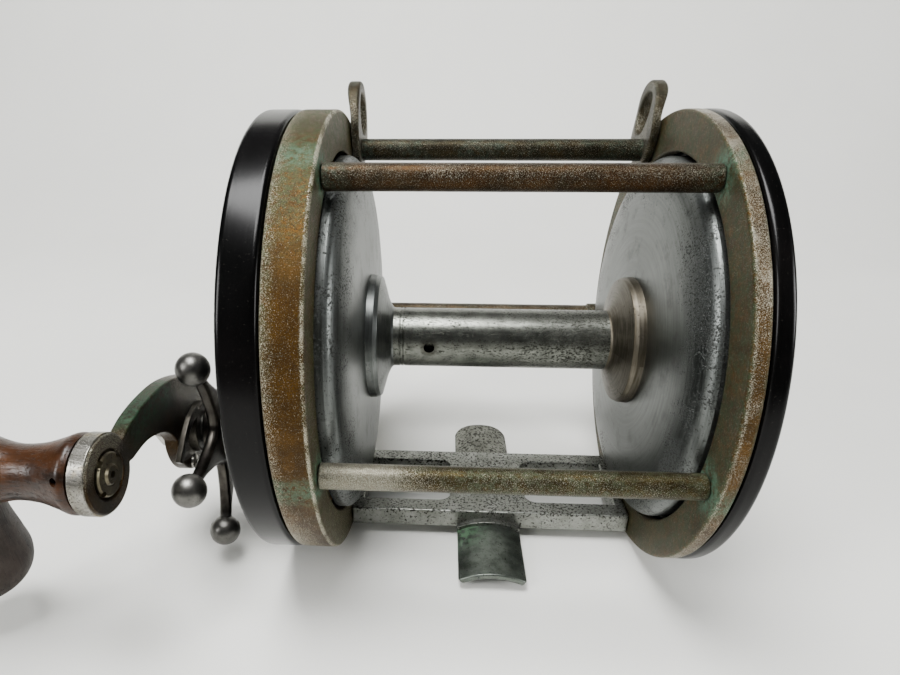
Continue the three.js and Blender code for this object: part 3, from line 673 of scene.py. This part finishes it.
def near_rim(s):
    rim = s.step(s.away(), 0.032, 0.047)
    return s.add(s.mul(rim, 0.62), s.mul(s.step(s.noise(110, 5), 0.42, 0.62), 0.42))


def all_over(s):
    return s.add(0.35, s.mul(s.step(s.noise(120, 4), 0.45, 0.7), 0.5))


LOOK = {
    "head_ring": head_ring_look(),
    "tail_ring": tail_ring_look(),
    "ebonite": ebonite_look(),
    "flange": turned_metal("flange_aluminium", "686b69", "4f5250", "1f1e1b", 0.31, near_rim, pit_size=1900,
                           anisotropic=0.4),
    "collar_head": turned_metal("collar_grey", "797c7a", "555856", "23221e", 0.3, all_over, 2500.0, 2400),
    "collar_tail": turned_metal("collar_brown", "69645a", "443f34", "1d1912", 0.38, all_over, 2500.0, 1700),
    "arbor": arbor_look(),
    "pillar_front_top": pillar_look("front_top", "432d15", "1a1208", "2b3825", 0.2, 0.56, on_top=True),
    "pillar_rear_top": pillar_look("rear_top", "332a17", "13120a", "24382a", 0.6, 0.4, on_top=True),
    "pillar_front_low": pillar_look("front_low", "44381b", "1c180b", "384226", 0.9, 0.4, bright_end=0.86),
    "pillar_rear_low": pillar_look("rear_low", "4d4030", "241d12", "353f2c", 0.4, 0.5),
    "lug": lug_look(),
    "foot": foot_look("foot_steel", "90928c", "74766f", "22201b", 0.2, 1200),
    "tongue": foot_look("tongue_steel", "6b716a", "4c524b", "1c1c17", 0.0, patch="4f6f52"),
    "rear_tongue": foot_look("rear_tongue_steel", "72736b", "56574f", "1e1c17", 0.6, 1000),
    "crank": crank_look(),
    "boss": plain_metal("boss_nickel", "93918a", "625d50", 0.18, pit=0.6, pit_size=2400, tint="8d7a48"),
    "star": star_look(),
    "nickel": plain_metal("satin_nickel", "a3a19a", "7e7b74", 0.22, pit=0.25),
    "dull_nickel": plain_metal("dull_nickel", "77725f", "453f33", 0.3, pit=0.5, tint="6b5832"),
    "steel": plain_metal("bare_steel", "75746f", "4f4e4a", 0.3, pit=0.35),
    "dark_steel": plain_metal("dark_steel", "54514b", "2a2822", 0.27, pit=0.4),
    "brass": plain_metal("machined_brass", "b9964a", "8d6c2c", 0.26, pit=0.15),
    "fibre": fibre_look(),
    "stem": wood_look("stem_wood", "432814", "321c0c", "170c05", "x", 0.22, 0.26),
    "bulb": wood_look("bulb_wood", "3a322d", "2d2520", "191310", "z", 0.48, 0.2),
}

# ---- rings and side plates -------------------------------------------------------------------


def across(profile, side):
    return [(side * x, r) for x, r in profile]


def sides():
    for name, side, joint, face in SIDES:
        ends = (HALF_GAP, joint - 0.15)
        ring = [(ends[0], RING_BORE), (ends[0], RING_RADIUS), (ends[1], RING_RADIUS), (ends[1], RING_BORE)]
        obj = lathe(name + "_ring_worn", across(fillet(ring, 0.9), side), segments=RING_SEGMENTS)
        show(obj, LOOK[name + "_ring"], "frame", name + "_ring", slot="patina")
        outer = [
            (joint + 0.15, 51.5), (joint + 0.15, RING_RADIUS), (face, RING_RADIUS), (face, 52.5),
            (face - 0.5, 51.8), (face - 0.5, 14), (face, 13.4), (face, 6.3),
            (face - 2.4, 6.3), (face - 2.4, 51.5),
        ]
        disc = lathe(name + "_plate_body", across(fillet(outer, 1.5), side), segments=RING_SEGMENTS)
        if name == "head":
            cuts = [
                lathe("cut_tower", [(-66, 0), (-66, 8.3), (-60, 8.3), (-60, 0)], DRIVE, 64),
                lathe("cut_lever", [(-66, 0), (-66, 2.8), (-60, 2.8), (-60, 0)], LEVER, 48),
            ]
        else:
            cuts = [block("cut_click", (50.6, -2.3, -26.3), (54.6, 2.3, -16.7))]
        show(carve(disc, cuts), LOOK["ebonite"], "frame", name + "_plate", slot="ebonite")
        for index, angle in enumerate(PILLARS.values(), 1):
            centre = polar(PILLAR_PITCH, angle)
            head = [(face - 1.9, 0), (face - 1.9, 3.1), (face + 0.1, 3.1)]
            head += [(face + 0.5, 1.6), (face + 0.55, 0)]
            head = across(fillet(head, 0.5, closed=False), side)
            screw = lathe(f"{name}_screw_head_{index}", head, centre, 40)
            low, high = sorted((side * (face - 0.1), side * (face + 1)))
            y, z = centre
            cut = block("cut_slot", (low, y - 4, z - 0.4), (high, y + 4, z + 0.4))
            show(carve(screw, [cut]), LOOK["nickel"], "frame", f"{name}_screw_{index}", slot="nickel")


def pillars():
    """Plain rods between the rings; only the lower rear one has wide collars."""
    end = HALF_GAP - 0.3
    for name, angle in PILLARS.items():
        collared = name == "rear_low"
        half = [(end, 0), (end, 3.15)]
        if collared:
            half = [(end, 0), (end, 3.8), (end - 4, 3.8), (end - 4.6, 3.1)]
        profile = fillet([(-x, r) for x, r in half] + half[::-1], 0.5, closed=False)
        obj = lathe(f"pillar_{name}_rod", profile, polar(PILLAR_PITCH, angle), 64)
        show(obj, LOOK[f"pillar_{name}"], "frame", f"pillar_{name}", slot="patina")


def lugs():
    """Egg-shaped eyes: thin behind the rings, thickening outwards as they clear them."""
    angle = PILLARS["rear_top"]
    half = [(53.4, 2.4), (56, 6.6), (59.5, 10.2), (63, 11.3), (67, 11.1), (71, 9.8), (74.5, 7.4)]
    half += [(76.8, 4.4), (77.8, 0)]
    thin, thick = 44.55, 46.1

    def place(radius, side):
        y, z = polar(radius, angle)
        dy, dz = polar(side, angle + 90)
        return y + dy, z + dz

    egg = smooth([place(r, s) for r, s in half + [(r, -s) for r, s in half[-2::-1]]], closed=True)
    hole = []
    for k in range(48):
        t = 2 * math.pi * k / 48
        hole.append(place(68.8 + 5.6 * math.cos(t), 6.9 * math.sin(t)))
    for name, side, shift in (("head", -1, 0.0), ("tail", 1, 1.4)):
        x = sorted((side * 42.2, side * thick))
        obj = plate(f"harness_lug_{name}_eye", [egg, hole], x[0], x[1], 0.8)
        for vertex in obj.data.vertices:
            out = abs(vertex.co.x) / MM
            radius = math.hypot(vertex.co.y, vertex.co.z - AXIS) / MM
            t = min(max((radius - 62.5) / 12, 0), 1)
            rise = t * t * (3 - 2 * t)
            if out > 44:
                out = 44 + (out - 44) * ((thin - 44) / (thick - 44) * (1 - rise) + rise)
            vertex.co.x = (side * out + shift * rise) * MM
        show(obj, LOOK["lug"], "frame", f"harness_lug_{name}", slot="patina")


def foot():
    end = HALF_GAP - 0.3
    top, deep = -53.4, 6.5
    bars = []
    for label, low, high in (("front", -17.4, -11.4), ("rear", 11.4, 17.4)):
        bars.append(rounded_block("bar_" + label, (-end, low, top - deep), (end, high, top), 0.5))
    bars.append(rounded_block("web", (-12.6, -12, top - 2.5), (12.6, 12, top), 0.5))
    for side in (-1, 1):
        x = sorted((side * 41.1, side * end))
        bars.append(rounded_block("end", (x[0], -12, top - deep), (x[1], 12, top), 0.5))
        for corner in (-1, 1):
            bars.append(gusset(side * 12.3, corner * 11.7, -side, corner, top - 2.5, top))
    show(join("foot_plate", bars), LOOK["foot"], "frame", "reel_foot", slot="steel")
    front = tongue("foot_tongue_front", -41.2, -15, 0.8, 0.0)
    show(front, LOOK["tongue"], "frame", slot="steel")
    ledge = tongue("foot_ledge", -19.5, -16, 0.4, 1.2)
    show(ledge, LOOK["foot"], "frame", slot="steel")
    rear = tongue("foot_tongue_rear", 15, 43.5, 5.2, 0.0)
    show(rear, LOOK["rear_tongue"], "frame", slot="steel")


def tongue(name, start, end, corner, raised):
    """A saddle-shaped tongue with its free corners rounded; raised lifts it above the others."""
    crown, radius, half, thick = -57.2 + raised, 20 + raised, 10.2, 1.8
    across_steps, along_steps = 24, 40
    rows = []
    free = start if start < 0 else end
    for j in range(along_steps + 1):
        y = start + (end - start) * j / along_steps
        from_tip = abs(y - free)
        width = half
        if from_tip < corner:
            width = half - corner + math.sqrt(max(corner ** 2 - (corner - from_tip) ** 2, 0))
        rows.append((y, width))
    verts, faces = [], []
    for lift in (0, -thick):
        for y, width in rows:
            for i in range(across_steps + 1):
                a = math.asin(min(width, radius) / radius) * (2 * i / across_steps - 1)
                r = radius + lift
                verts.append(to_row((r * math.sin(a), y, crown - radius + r * math.cos(a))))
    w, layer = across_steps + 1, (along_steps + 1) * (across_steps + 1)
    for j in range(along_steps):
        for i in range(across_steps):
            a = j * w + i
            quad = [a, a + 1, a + 1 + w, a + w]
            faces += [quad, [v + layer for v in quad[::-1]]]
    edge = [j * w for j in range(along_steps)] + [along_steps * w + i for i in range(across_steps)]
    edge += [j * w + across_steps for j in range(along_steps, 0, -1)]
    edge += range(across_steps, 0, -1)
    faces += [[a, b, b + layer, a + layer] for a, b in zip(edge, edge[1:] + edge[:1])]
    mesh = bpy.data.meshes.new(name)
    mesh.from_pydata(verts, [], faces)
    obj = finish_mesh(name, mesh)
    bevel = obj.modifiers.new("round", "BEVEL")
    bevel.width = 0.35 * MM
    bevel.segments = 2
    bevel.limit_method = "ANGLE"
    bevel.angle_limit = math.radians(50)
    return obj


# ---- spool -------------------------------------------------------------------------------------


def spool():
    half = 32.5
    tube = [(-half, 4.4), (-half, ARBOR_RADIUS)]
    for x in (-29.6, -28.6):
        tube += [(x - 0.25, ARBOR_RADIUS), (x - 0.1, 8.72), (x + 0.1, 8.72), (x + 0.25, ARBOR_RADIUS)]
    tube += [(half, ARBOR_RADIUS), (half, 4.4)]
    arbor = lathe("arbor_tube", [(x + SPOOL_SHIFT, r) for x, r in tube])
    drill = lathe("cut_line_hole", [(-3, 0), (-3, 1.6), (3, 1.6), (3, 0)], segments=32)
    turn_to_y(drill)
    drill.data.transform(Matrix.Translation(to_row(LINE_HOLE)))
    show(carve(arbor, [drill]), LOOK["arbor"], "spool", "spool_arbor", slot="steel")
    inner = [(38.6, 18.5), (38.7, 28), (38.9, 36), (39.3, 42), (40.1, 46.5)]
    inner = smooth(inner + [(41.3, 49.8), (42.8, 51.5), (44, 52)])
    rim = [(46.0, 52), (46.2, 51.7), (46.2, 50.6)]
    back = smooth([(44.4, 49.6), (42.6, 47.2), (41.2, 41), (40.6, 18.5)])
    cone = smooth([(34.6, 15.5), (33.8, 12.6), (33.0, 10.6), (32.2, 9.3), (31.6, 8.92)], 4)
    step = fillet([(38.7, 18.9), (36.6, 18.7), (35.4, 18.2), cone[0]], 0.5, closed=False)
    collar = [(38.7, 8.8), *step, *cone, (31.6, 8.8)]
    for name, side in (("head", -1), ("tail", 1)):
        profile = [(38.6, 9.4), *inner, *rim, *back, (40.6, 9.4)]
        shape = [(side * x + SPOOL_SHIFT, r) for x, r in profile]
        disc = lathe(f"spool_flange_{name}_disc", shape, segments=RING_SEGMENTS)
        show(disc, LOOK["flange"], "spool", f"spool_flange_{name}", slot="aluminium")
        hub = lathe(f"hub_collar_{name}_cone", [(side * x + SPOOL_SHIFT, r) for x, r in collar])
        show(hub, LOOK["collar_" + name], "spool", f"hub_collar_{name}", slot="steel")


# ---- head side ---------------------------------------------------------------------------------


def caps():
    for name, side, face, length, radius in (("head", -1, -HEAD_FACE, 6, 9), ("tail", 1, TAIL_FACE, 7, 9.5)):
        step = radius + 1.4
        outer = [(length, 0), (length, radius), (1.8, radius), (1.8, step), (0.3, step), (0.3, 3.8)]
        outer += [(length - 2, 3.8), (length - 2, 0)]
        profile = [(side * (face + x), r) for x, r in fillet(outer, 0.8, closed=False)]
        cap = lathe(f"{name}_cap_turned", profile, segments=96)
        grip = []
        for k in range(24):
            y, z = polar(radius + 0.55, 15 * k)
            x = sorted((side * (face + 2.6), side * (face + length - 1.4)))
            grip.append(lathe("cut_knurl", [(x[0], 0), (x[0], 0.9), (x[1], 0.9), (x[1], 0)], (y, z), 16))
        show(carve(cap, grip), LOOK["nickel"], f"{name}_cap", f"{name}_bearing_cap", slot="nickel")
    tower = [(-75.5, 6.3), (-75.5, 9.4), (-74.6, 10), (-67, 10), (-65.8, 11), (-65.8, 15.5), (-64.3, 15.5)]
    tower += [(-64.3, 8), (-61.8, 8), (-61.8, 6.3)]
    obj = lathe("drive_tower_turned", fillet(tower, 0.5), DRIVE, 96)
    show(obj, LOOK["nickel"], "frame", "drive_tower", slot="nickel")


def lever():
    rest = 95
    shaft = lathe("lever_shaft", [(-66.4, 0), (-66.4, 2.5), (-50.3, 2.5), (-50.3, 0)], LEVER, 40)
    foot_disc = lathe("lever_foot", [(-51.2, 0), (-51.2, 4.6), (-50.3, 4.6), (-50.3, 0)], LEVER, 40)
    outline = smooth([(-2.6, 0), (-2.1, 10), (-2.2, 16), (-3.2, 20), (-2.2, 23), (0, 24.2)])
    outline += [(-s, o) for s, o in outline[-2::-1]]
    placed = []
    for side, out in outline:
        y, z = polar(out, rest, LEVER)
        dy, dz = polar(side, rest + 90)
        placed.append((y + dy, z + dz))
    blade = plate("lever_blade", [placed], -66.6, -64.7, 0.5)
    hub_shape = fillet([(-64.7, 0), (-64.7, 5.2), (-67.6, 5.2), (-67.6, 0)], 0.7, closed=False)
    hub = lathe("lever_hub", hub_shape, LEVER, 64)
    knob_shape = smooth([(-64.9, 2.2), (-67, 1.9), (-68.4, 2.6), (-69.8, 3.4), (-71, 2.8), (-71.5, 0)])
    knob = lathe("lever_knob", [(-64.9, 0), *knob_shape], polar(20, rest, LEVER), 48)
    obj = join("free_spool_lever_worn", [shaft, foot_disc, blade, hub, knob])
    show(obj, LOOK["nickel"], "lever", "free_spool_lever", slot="nickel")


def star():
    points = []
    for k in range(STAR_ARMS):
        arm = STAR_PHASE + STAR_STEP * k
        web = [(30, 13.0), (38, 13.8), (46.6, 16.2), (53.4, 20.5), (56.6, 25)]
        for turn, radius in [(-2.6, 29.5), (2.6, 29.5)] + [(STAR_STEP - t, r) for t, r in web[:0:-1]] + web:
            points.append(polar(radius, arm + turn, DRIVE))
    body = plate("star_body", [smooth(points, 4, closed=True)], -83.7, -80.3, 1.3)
    shape = fillet([(-86.4, 5.1), (-86.4, 10.2), (-78.8, 10.2), (-78.8, 5.1)], 0.8)
    hub = lathe("star_hub", shape, DRIVE, 96)
    cut = lathe("cut_bore", [(-90, 0), (-90, 5.1), (-75, 5.1), (-75, 0)], DRIVE, 64)
    body = carve(body, [cut])
    pieces = [body, hub]
    for k in range(STAR_ARMS):
        y, z = polar(STAR_REACH, STAR_PHASE + STAR_STEP * k, DRIVE)
        pieces.append(ball("star_ball", (STAR_X, y, z), STAR_BALL))
    show(join("star_drag_worn", pieces), LOOK["star"], "star", "star_drag", slot="dark_steel")


def circle(centre, radius, start=0, end=360, steps=48):
    """An arc's points, or a whole circle's without its last point again."""
    count = steps if end - start == 360 else steps + 1
    return [polar(radius, start + (end - start) * k / steps, centre) for k in range(count)]


def crank():
    outline = circle(DRIVE, 13.3, 170, 380, 60)
    outline += smooth([(-6, -12.5), (-15, -7.1), (-26.9, -3.3), (-37.3, -2.4), (-46.5, -3), (-53.6, -4.9)])
    outline += circle(BOSS, 9.4, 27, 343, 60)
    outline += smooth([(-51.6, -12.3), (-43.8, -12.2), (-36.2, -14.4), (-31.4, -17.6), (-28.8, -21.6)])
    arm = plate("crank_rim", [outline, circle(DRIVE, 3.9), circle(BOSS, 5.95)], ARM_OUTER, ARM_INNER, 0.5)
    seat = [(ARM_OUTER, 3.9), (ARM_OUTER, 6.4), (ARM_INNER - 1.5, 6.4), (ARM_INNER - 1.5, 3.9)]
    arm = join("crank_body", [arm, lathe("crank_seat", seat, BOSS, 64)])
    show(arm, LOOK["crank"], "drive", "crank_arm", slot="patina")
    band = [(ARM_OUTER - 0.1, 9), (ARM_OUTER - 0.1, 9.75), (ARM_INNER - 0.7, 9.75), (ARM_INNER - 0.5, 9)]
    show(lathe("crank_boss_band", fillet(band, 0.2), BOSS), LOOK["boss"], "drive", slot="patina")
    nut = [(-96.7, 4.5), (-96.7, 7.6), (-99, 7.6), (-102.6, 6.2), (-104.4, 3), (-104.4, 0)]
    nut += [(-102.3, 0), (-102.3, 4.5)]
    dome = lathe("crank_nut_dome", fillet(nut, 0.7), DRIVE, 6, sharp=25)
    show(dome, LOOK["nickel"], "drive", "crank_nut", slot="nickel")
    shape = fillet([(-93.4, 2.7), (-93.4, 5.3), (-92.2, 5.3), (-91.8, 4.9), (-91.8, 2.7)], 0.2)
    ring = lathe("spanner_ring", shape, BOSS, 96)
    notches = []
    for k in range(4):
        notch = [(-92.9, 0), (-92.9, 0.9), (-90, 0.9), (-90, 0)]
        notches.append(lathe("cut_notch", notch, polar(5.2, 30 + 90 * k, BOSS), 24))
    show(carve(ring, notches), LOOK["dull_nickel"], "drive", "spanner_nut", slot="nickel")
    end = [(-93.6, 0), (-93.6, 2.6), (-91.9, 2.6), (-91.4, 2.1), (-91.4, 0.9), (-92.6, 0.8), (-92.8, 0)]
    shank = [(-122.4, 0), (-122.4, 3.2), (-96.8, 3.2), (-96.8, 3.6), (-93.4, 3.6), (-93.4, 0)]
    obj = join("handle_spindle_turned", [lathe("end", end, BOSS, 64), lathe("shank", shank, BOSS, 48)])
    show(obj, LOOK["dull_nickel"], "drive", "handle_spindle", slot="steel")


def lock_finger():
    """A slim spring leaf, curled from its ring to a square end beyond the star's hub."""
    leaf = smooth([(-19, -15.2), (-24.4, -15.8), (-29.8, -18.9), (-36.2, -24.0)])
    leaf += smooth([(-34.6, -25.7), (-28.6, -20.9), (-24, -18.6), (-18, -18.2)])
    strip = plate("finger_strip", [leaf], -90.4, -88.8, 0.25)
    ring = lathe("finger_ring", fillet([(-91.8, 5.1), (-91.8, 8), (-88.8, 8), (-88.8, 5.1)], 0.3), DRIVE, 64)
    finger = join("crank_lock_finger_leaf", [strip, ring])
    show(finger, LOOK["dark_steel"], "drive", "crank_lock_finger", slot="dark_steel")
    y, z = polar(11, 232, DRIVE)
    shape = [(-94, 0), (-94, 1.2), (-91.9, 1.2), (-91.9, 2.2), (-91.1, 2.0), (-90.8, 0)]
    head = lathe("lock_screw_head", fillet(shape, 0.3, closed=False), (y, z), 40)
    cut = block("cut_slot", (-91.3, y - 3, z - 0.3), (-90, y + 3, z + 0.3))
    show(carve(head, [cut]), LOOK["nickel"], "drive", "lock_screw", slot="nickel")


def grip():
    stem = [(0.9, 9.2), (2.6, 9.6), (6, 8.4), (11, 7.0), (17, 6.6), (23, 7.9), (29, 10.2), (34, 11.6)]
    profile = [(ARM_OUTER - x, r) for x, r in [(0.9, 3.6), *smooth(stem), (34, 3.6)]]
    drill = lathe("cut_oil_hole", [(-1.6, 0), (-1.6, 0.9), (1.6, 0.9), (1.6, 0)], segments=24)
    turn_to_y(drill)
    drill.data.transform(Matrix.Translation(to_row(OIL_HOLE)))
    obj = carve(lathe("grip_stem", profile, BOSS, 96), [drill])
    show(obj, LOOK["stem"], "grip", slot="wood")
    belly = [(0, 12.0), (10, 11.4), (20, 11.2), (28, 11.6), (33.5, 11.7)]
    half = smooth(belly + [(38, 10.2), (41, 7), (42.6, 3), (43, 0)])
    bulb = lathe("grip_bar", [(-x, r) for x, r in half[::-1]] + half[1:], segments=96)
    turn_to_y(bulb)
    bulb.data.transform(Matrix.Rotation(math.radians(GRIP_TILT), 4, "X"))
    bulb.data.transform(Matrix.Translation(to_row((GRIP_X, *BOSS))))
    show(bulb, LOOK["bulb"], "grip", "handle_grip", slot="wood")


def sleeve():
    half = [(-102, 0), (-102, 3.6), (-91.7, 3.6), (-91.7, 4.8), (-78.5, 4.8), (-78.5, 6)]
    half += [(-51.3, 6), (-51.3, 8.4), (-50.3, 8.4), (-50.3, 0)]
    obj = lathe("drive_sleeve_turned", fillet(half, 0.25, closed=False), DRIVE, 64)
    show(obj, LOOK["steel"], "drive", "drive_sleeve", slot="steel")


def click():
    shape = [(59.2, 0), (59.2, 4.6), (55.0, 4.6), (54.2, 3.8), (54.2, 1.9), (47.1, 1.9), (47.1, 0)]
    obj = lathe("click_button_turned", fillet(shape, 0.6, closed=False), (0, -24), 64)
    show(obj, LOOK["nickel"], "click", "click_button", slot="nickel")


# the look of each material slot of the CAD
SLOT_LOOK = {
    "patina": "lug", "ebonite": "ebonite", "nickel": "nickel", "aluminium": "flange", "steel": "steel",
    "dark_steel": "dark_steel", "brass": "brass", "fibre": "fibre", "wood": "stem",
}


def dress_frame():
    """The CAD's own pieces that stay in sight or inside, in the same materials."""
    slots = {part["node"]: part["material_slot"] for part in frame["record"]["subparts"]}
    for name, obj in frame["nodes"].items():
        obj.data.materials.clear()
        obj.data.materials.append(LOOK[SLOT_LOOK[slots[name]]])


# ---- stage ---------------------------------------------------------------------------------------


def stage():
    """Pale paper on the floor, sweeping up to a low backdrop."""
    s = Surface("pale_paper")
    color = s.mix(s.step(s.noise(3, 4), 0.3, 0.7), rgb("dfdfda"), rgb("e6e6e1"))
    s.bump(s.noise(900, 3), 0.00005)
    material = s.finish(color, 0.7, 0.0)
    sweep, radius, top = 0.30, 0.25, 0.5
    front, half_width = -4.0, 5.0
    profile = [(front, FLOOR), (sweep, FLOOR)]
    for k in range(1, 17):
        a = math.radians(90 * k / 16)
        profile.append((sweep + radius * math.sin(a), FLOOR + radius * (1 - math.cos(a))))
    profile.append((sweep + radius, top))
    verts = [(x, y, z) for y, z in profile for x in (-half_width, half_width)]
    faces = [(2 * k, 2 * k + 1, 2 * k + 3, 2 * k + 2) for k in range(len(profile) - 1)]
    mesh = bpy.data.meshes.new("floor")
    mesh.from_pydata(verts, [], faces)
    floor = finish_mesh("floor", mesh, 60)
    floor.data.materials.append(material)


def area(name, at, towards, size, power):
    light = bpy.data.lights.new(name, "AREA")
    light.shape = "RECTANGLE"
    light.size, light.size_y = size
    light.energy = power
    obj = bpy.data.objects.new(name, light)
    obj.location = at
    obj.rotation_euler = (Vector(towards) - Vector(at)).to_track_quat("-Z", "Y").to_euler()
    bpy.context.scene.collection.objects.link(obj)


def studio():
    world = bpy.data.worlds.new("studio")
    bpy.context.scene.world = world
    world.use_nodes = True
    background = world.node_tree.nodes["Background"]
    background.inputs["Color"].default_value = (0.80, 0.82, 0.85, 1)
    background.inputs["Strength"].default_value = 0.12
    middle = (0, 0, 0.05)
    area("overhead", (-0.15, -0.1, 0.9), middle, (0.5, 0.35), 16)
    area("window_left", (-0.75, -0.55, 0.55), middle, (0.28, 0.45), 8)
    area("window_right", (0.88, -0.34, 0.44), middle, (0.28, 0.4), 7)


def camera():
    """The place, turn and lens solved from the photo's outlines."""
    data = bpy.data.cameras.new("camera")
    data.sensor_width = 36
    data.lens = 23.96
    data.shift_x = 0.0448
    data.shift_y = 0.0635
    data.clip_start = 0.005
    obj = bpy.data.objects.new("camera", data)
    right = Vector((0.9985, 0.0554, -0.0050))
    up = Vector((-0.0219, 0.4730, 0.8808))
    forward = Vector((-0.0512, 0.8793, -0.4735))
    turn = Matrix((right, up, -forward)).transposed().to_4x4()
    obj.matrix_world = Matrix.Translation((-0.01653, -0.17117, 0.12775)) @ turn
    bpy.context.scene.collection.objects.link(obj)
    bpy.context.scene.camera = obj


dress_frame()
sides()
pillars()
lugs()
foot()
spool()
caps()
lever()
star()
crank()
lock_finger()
grip()
sleeve()
click()
stage()
studio()
camera()
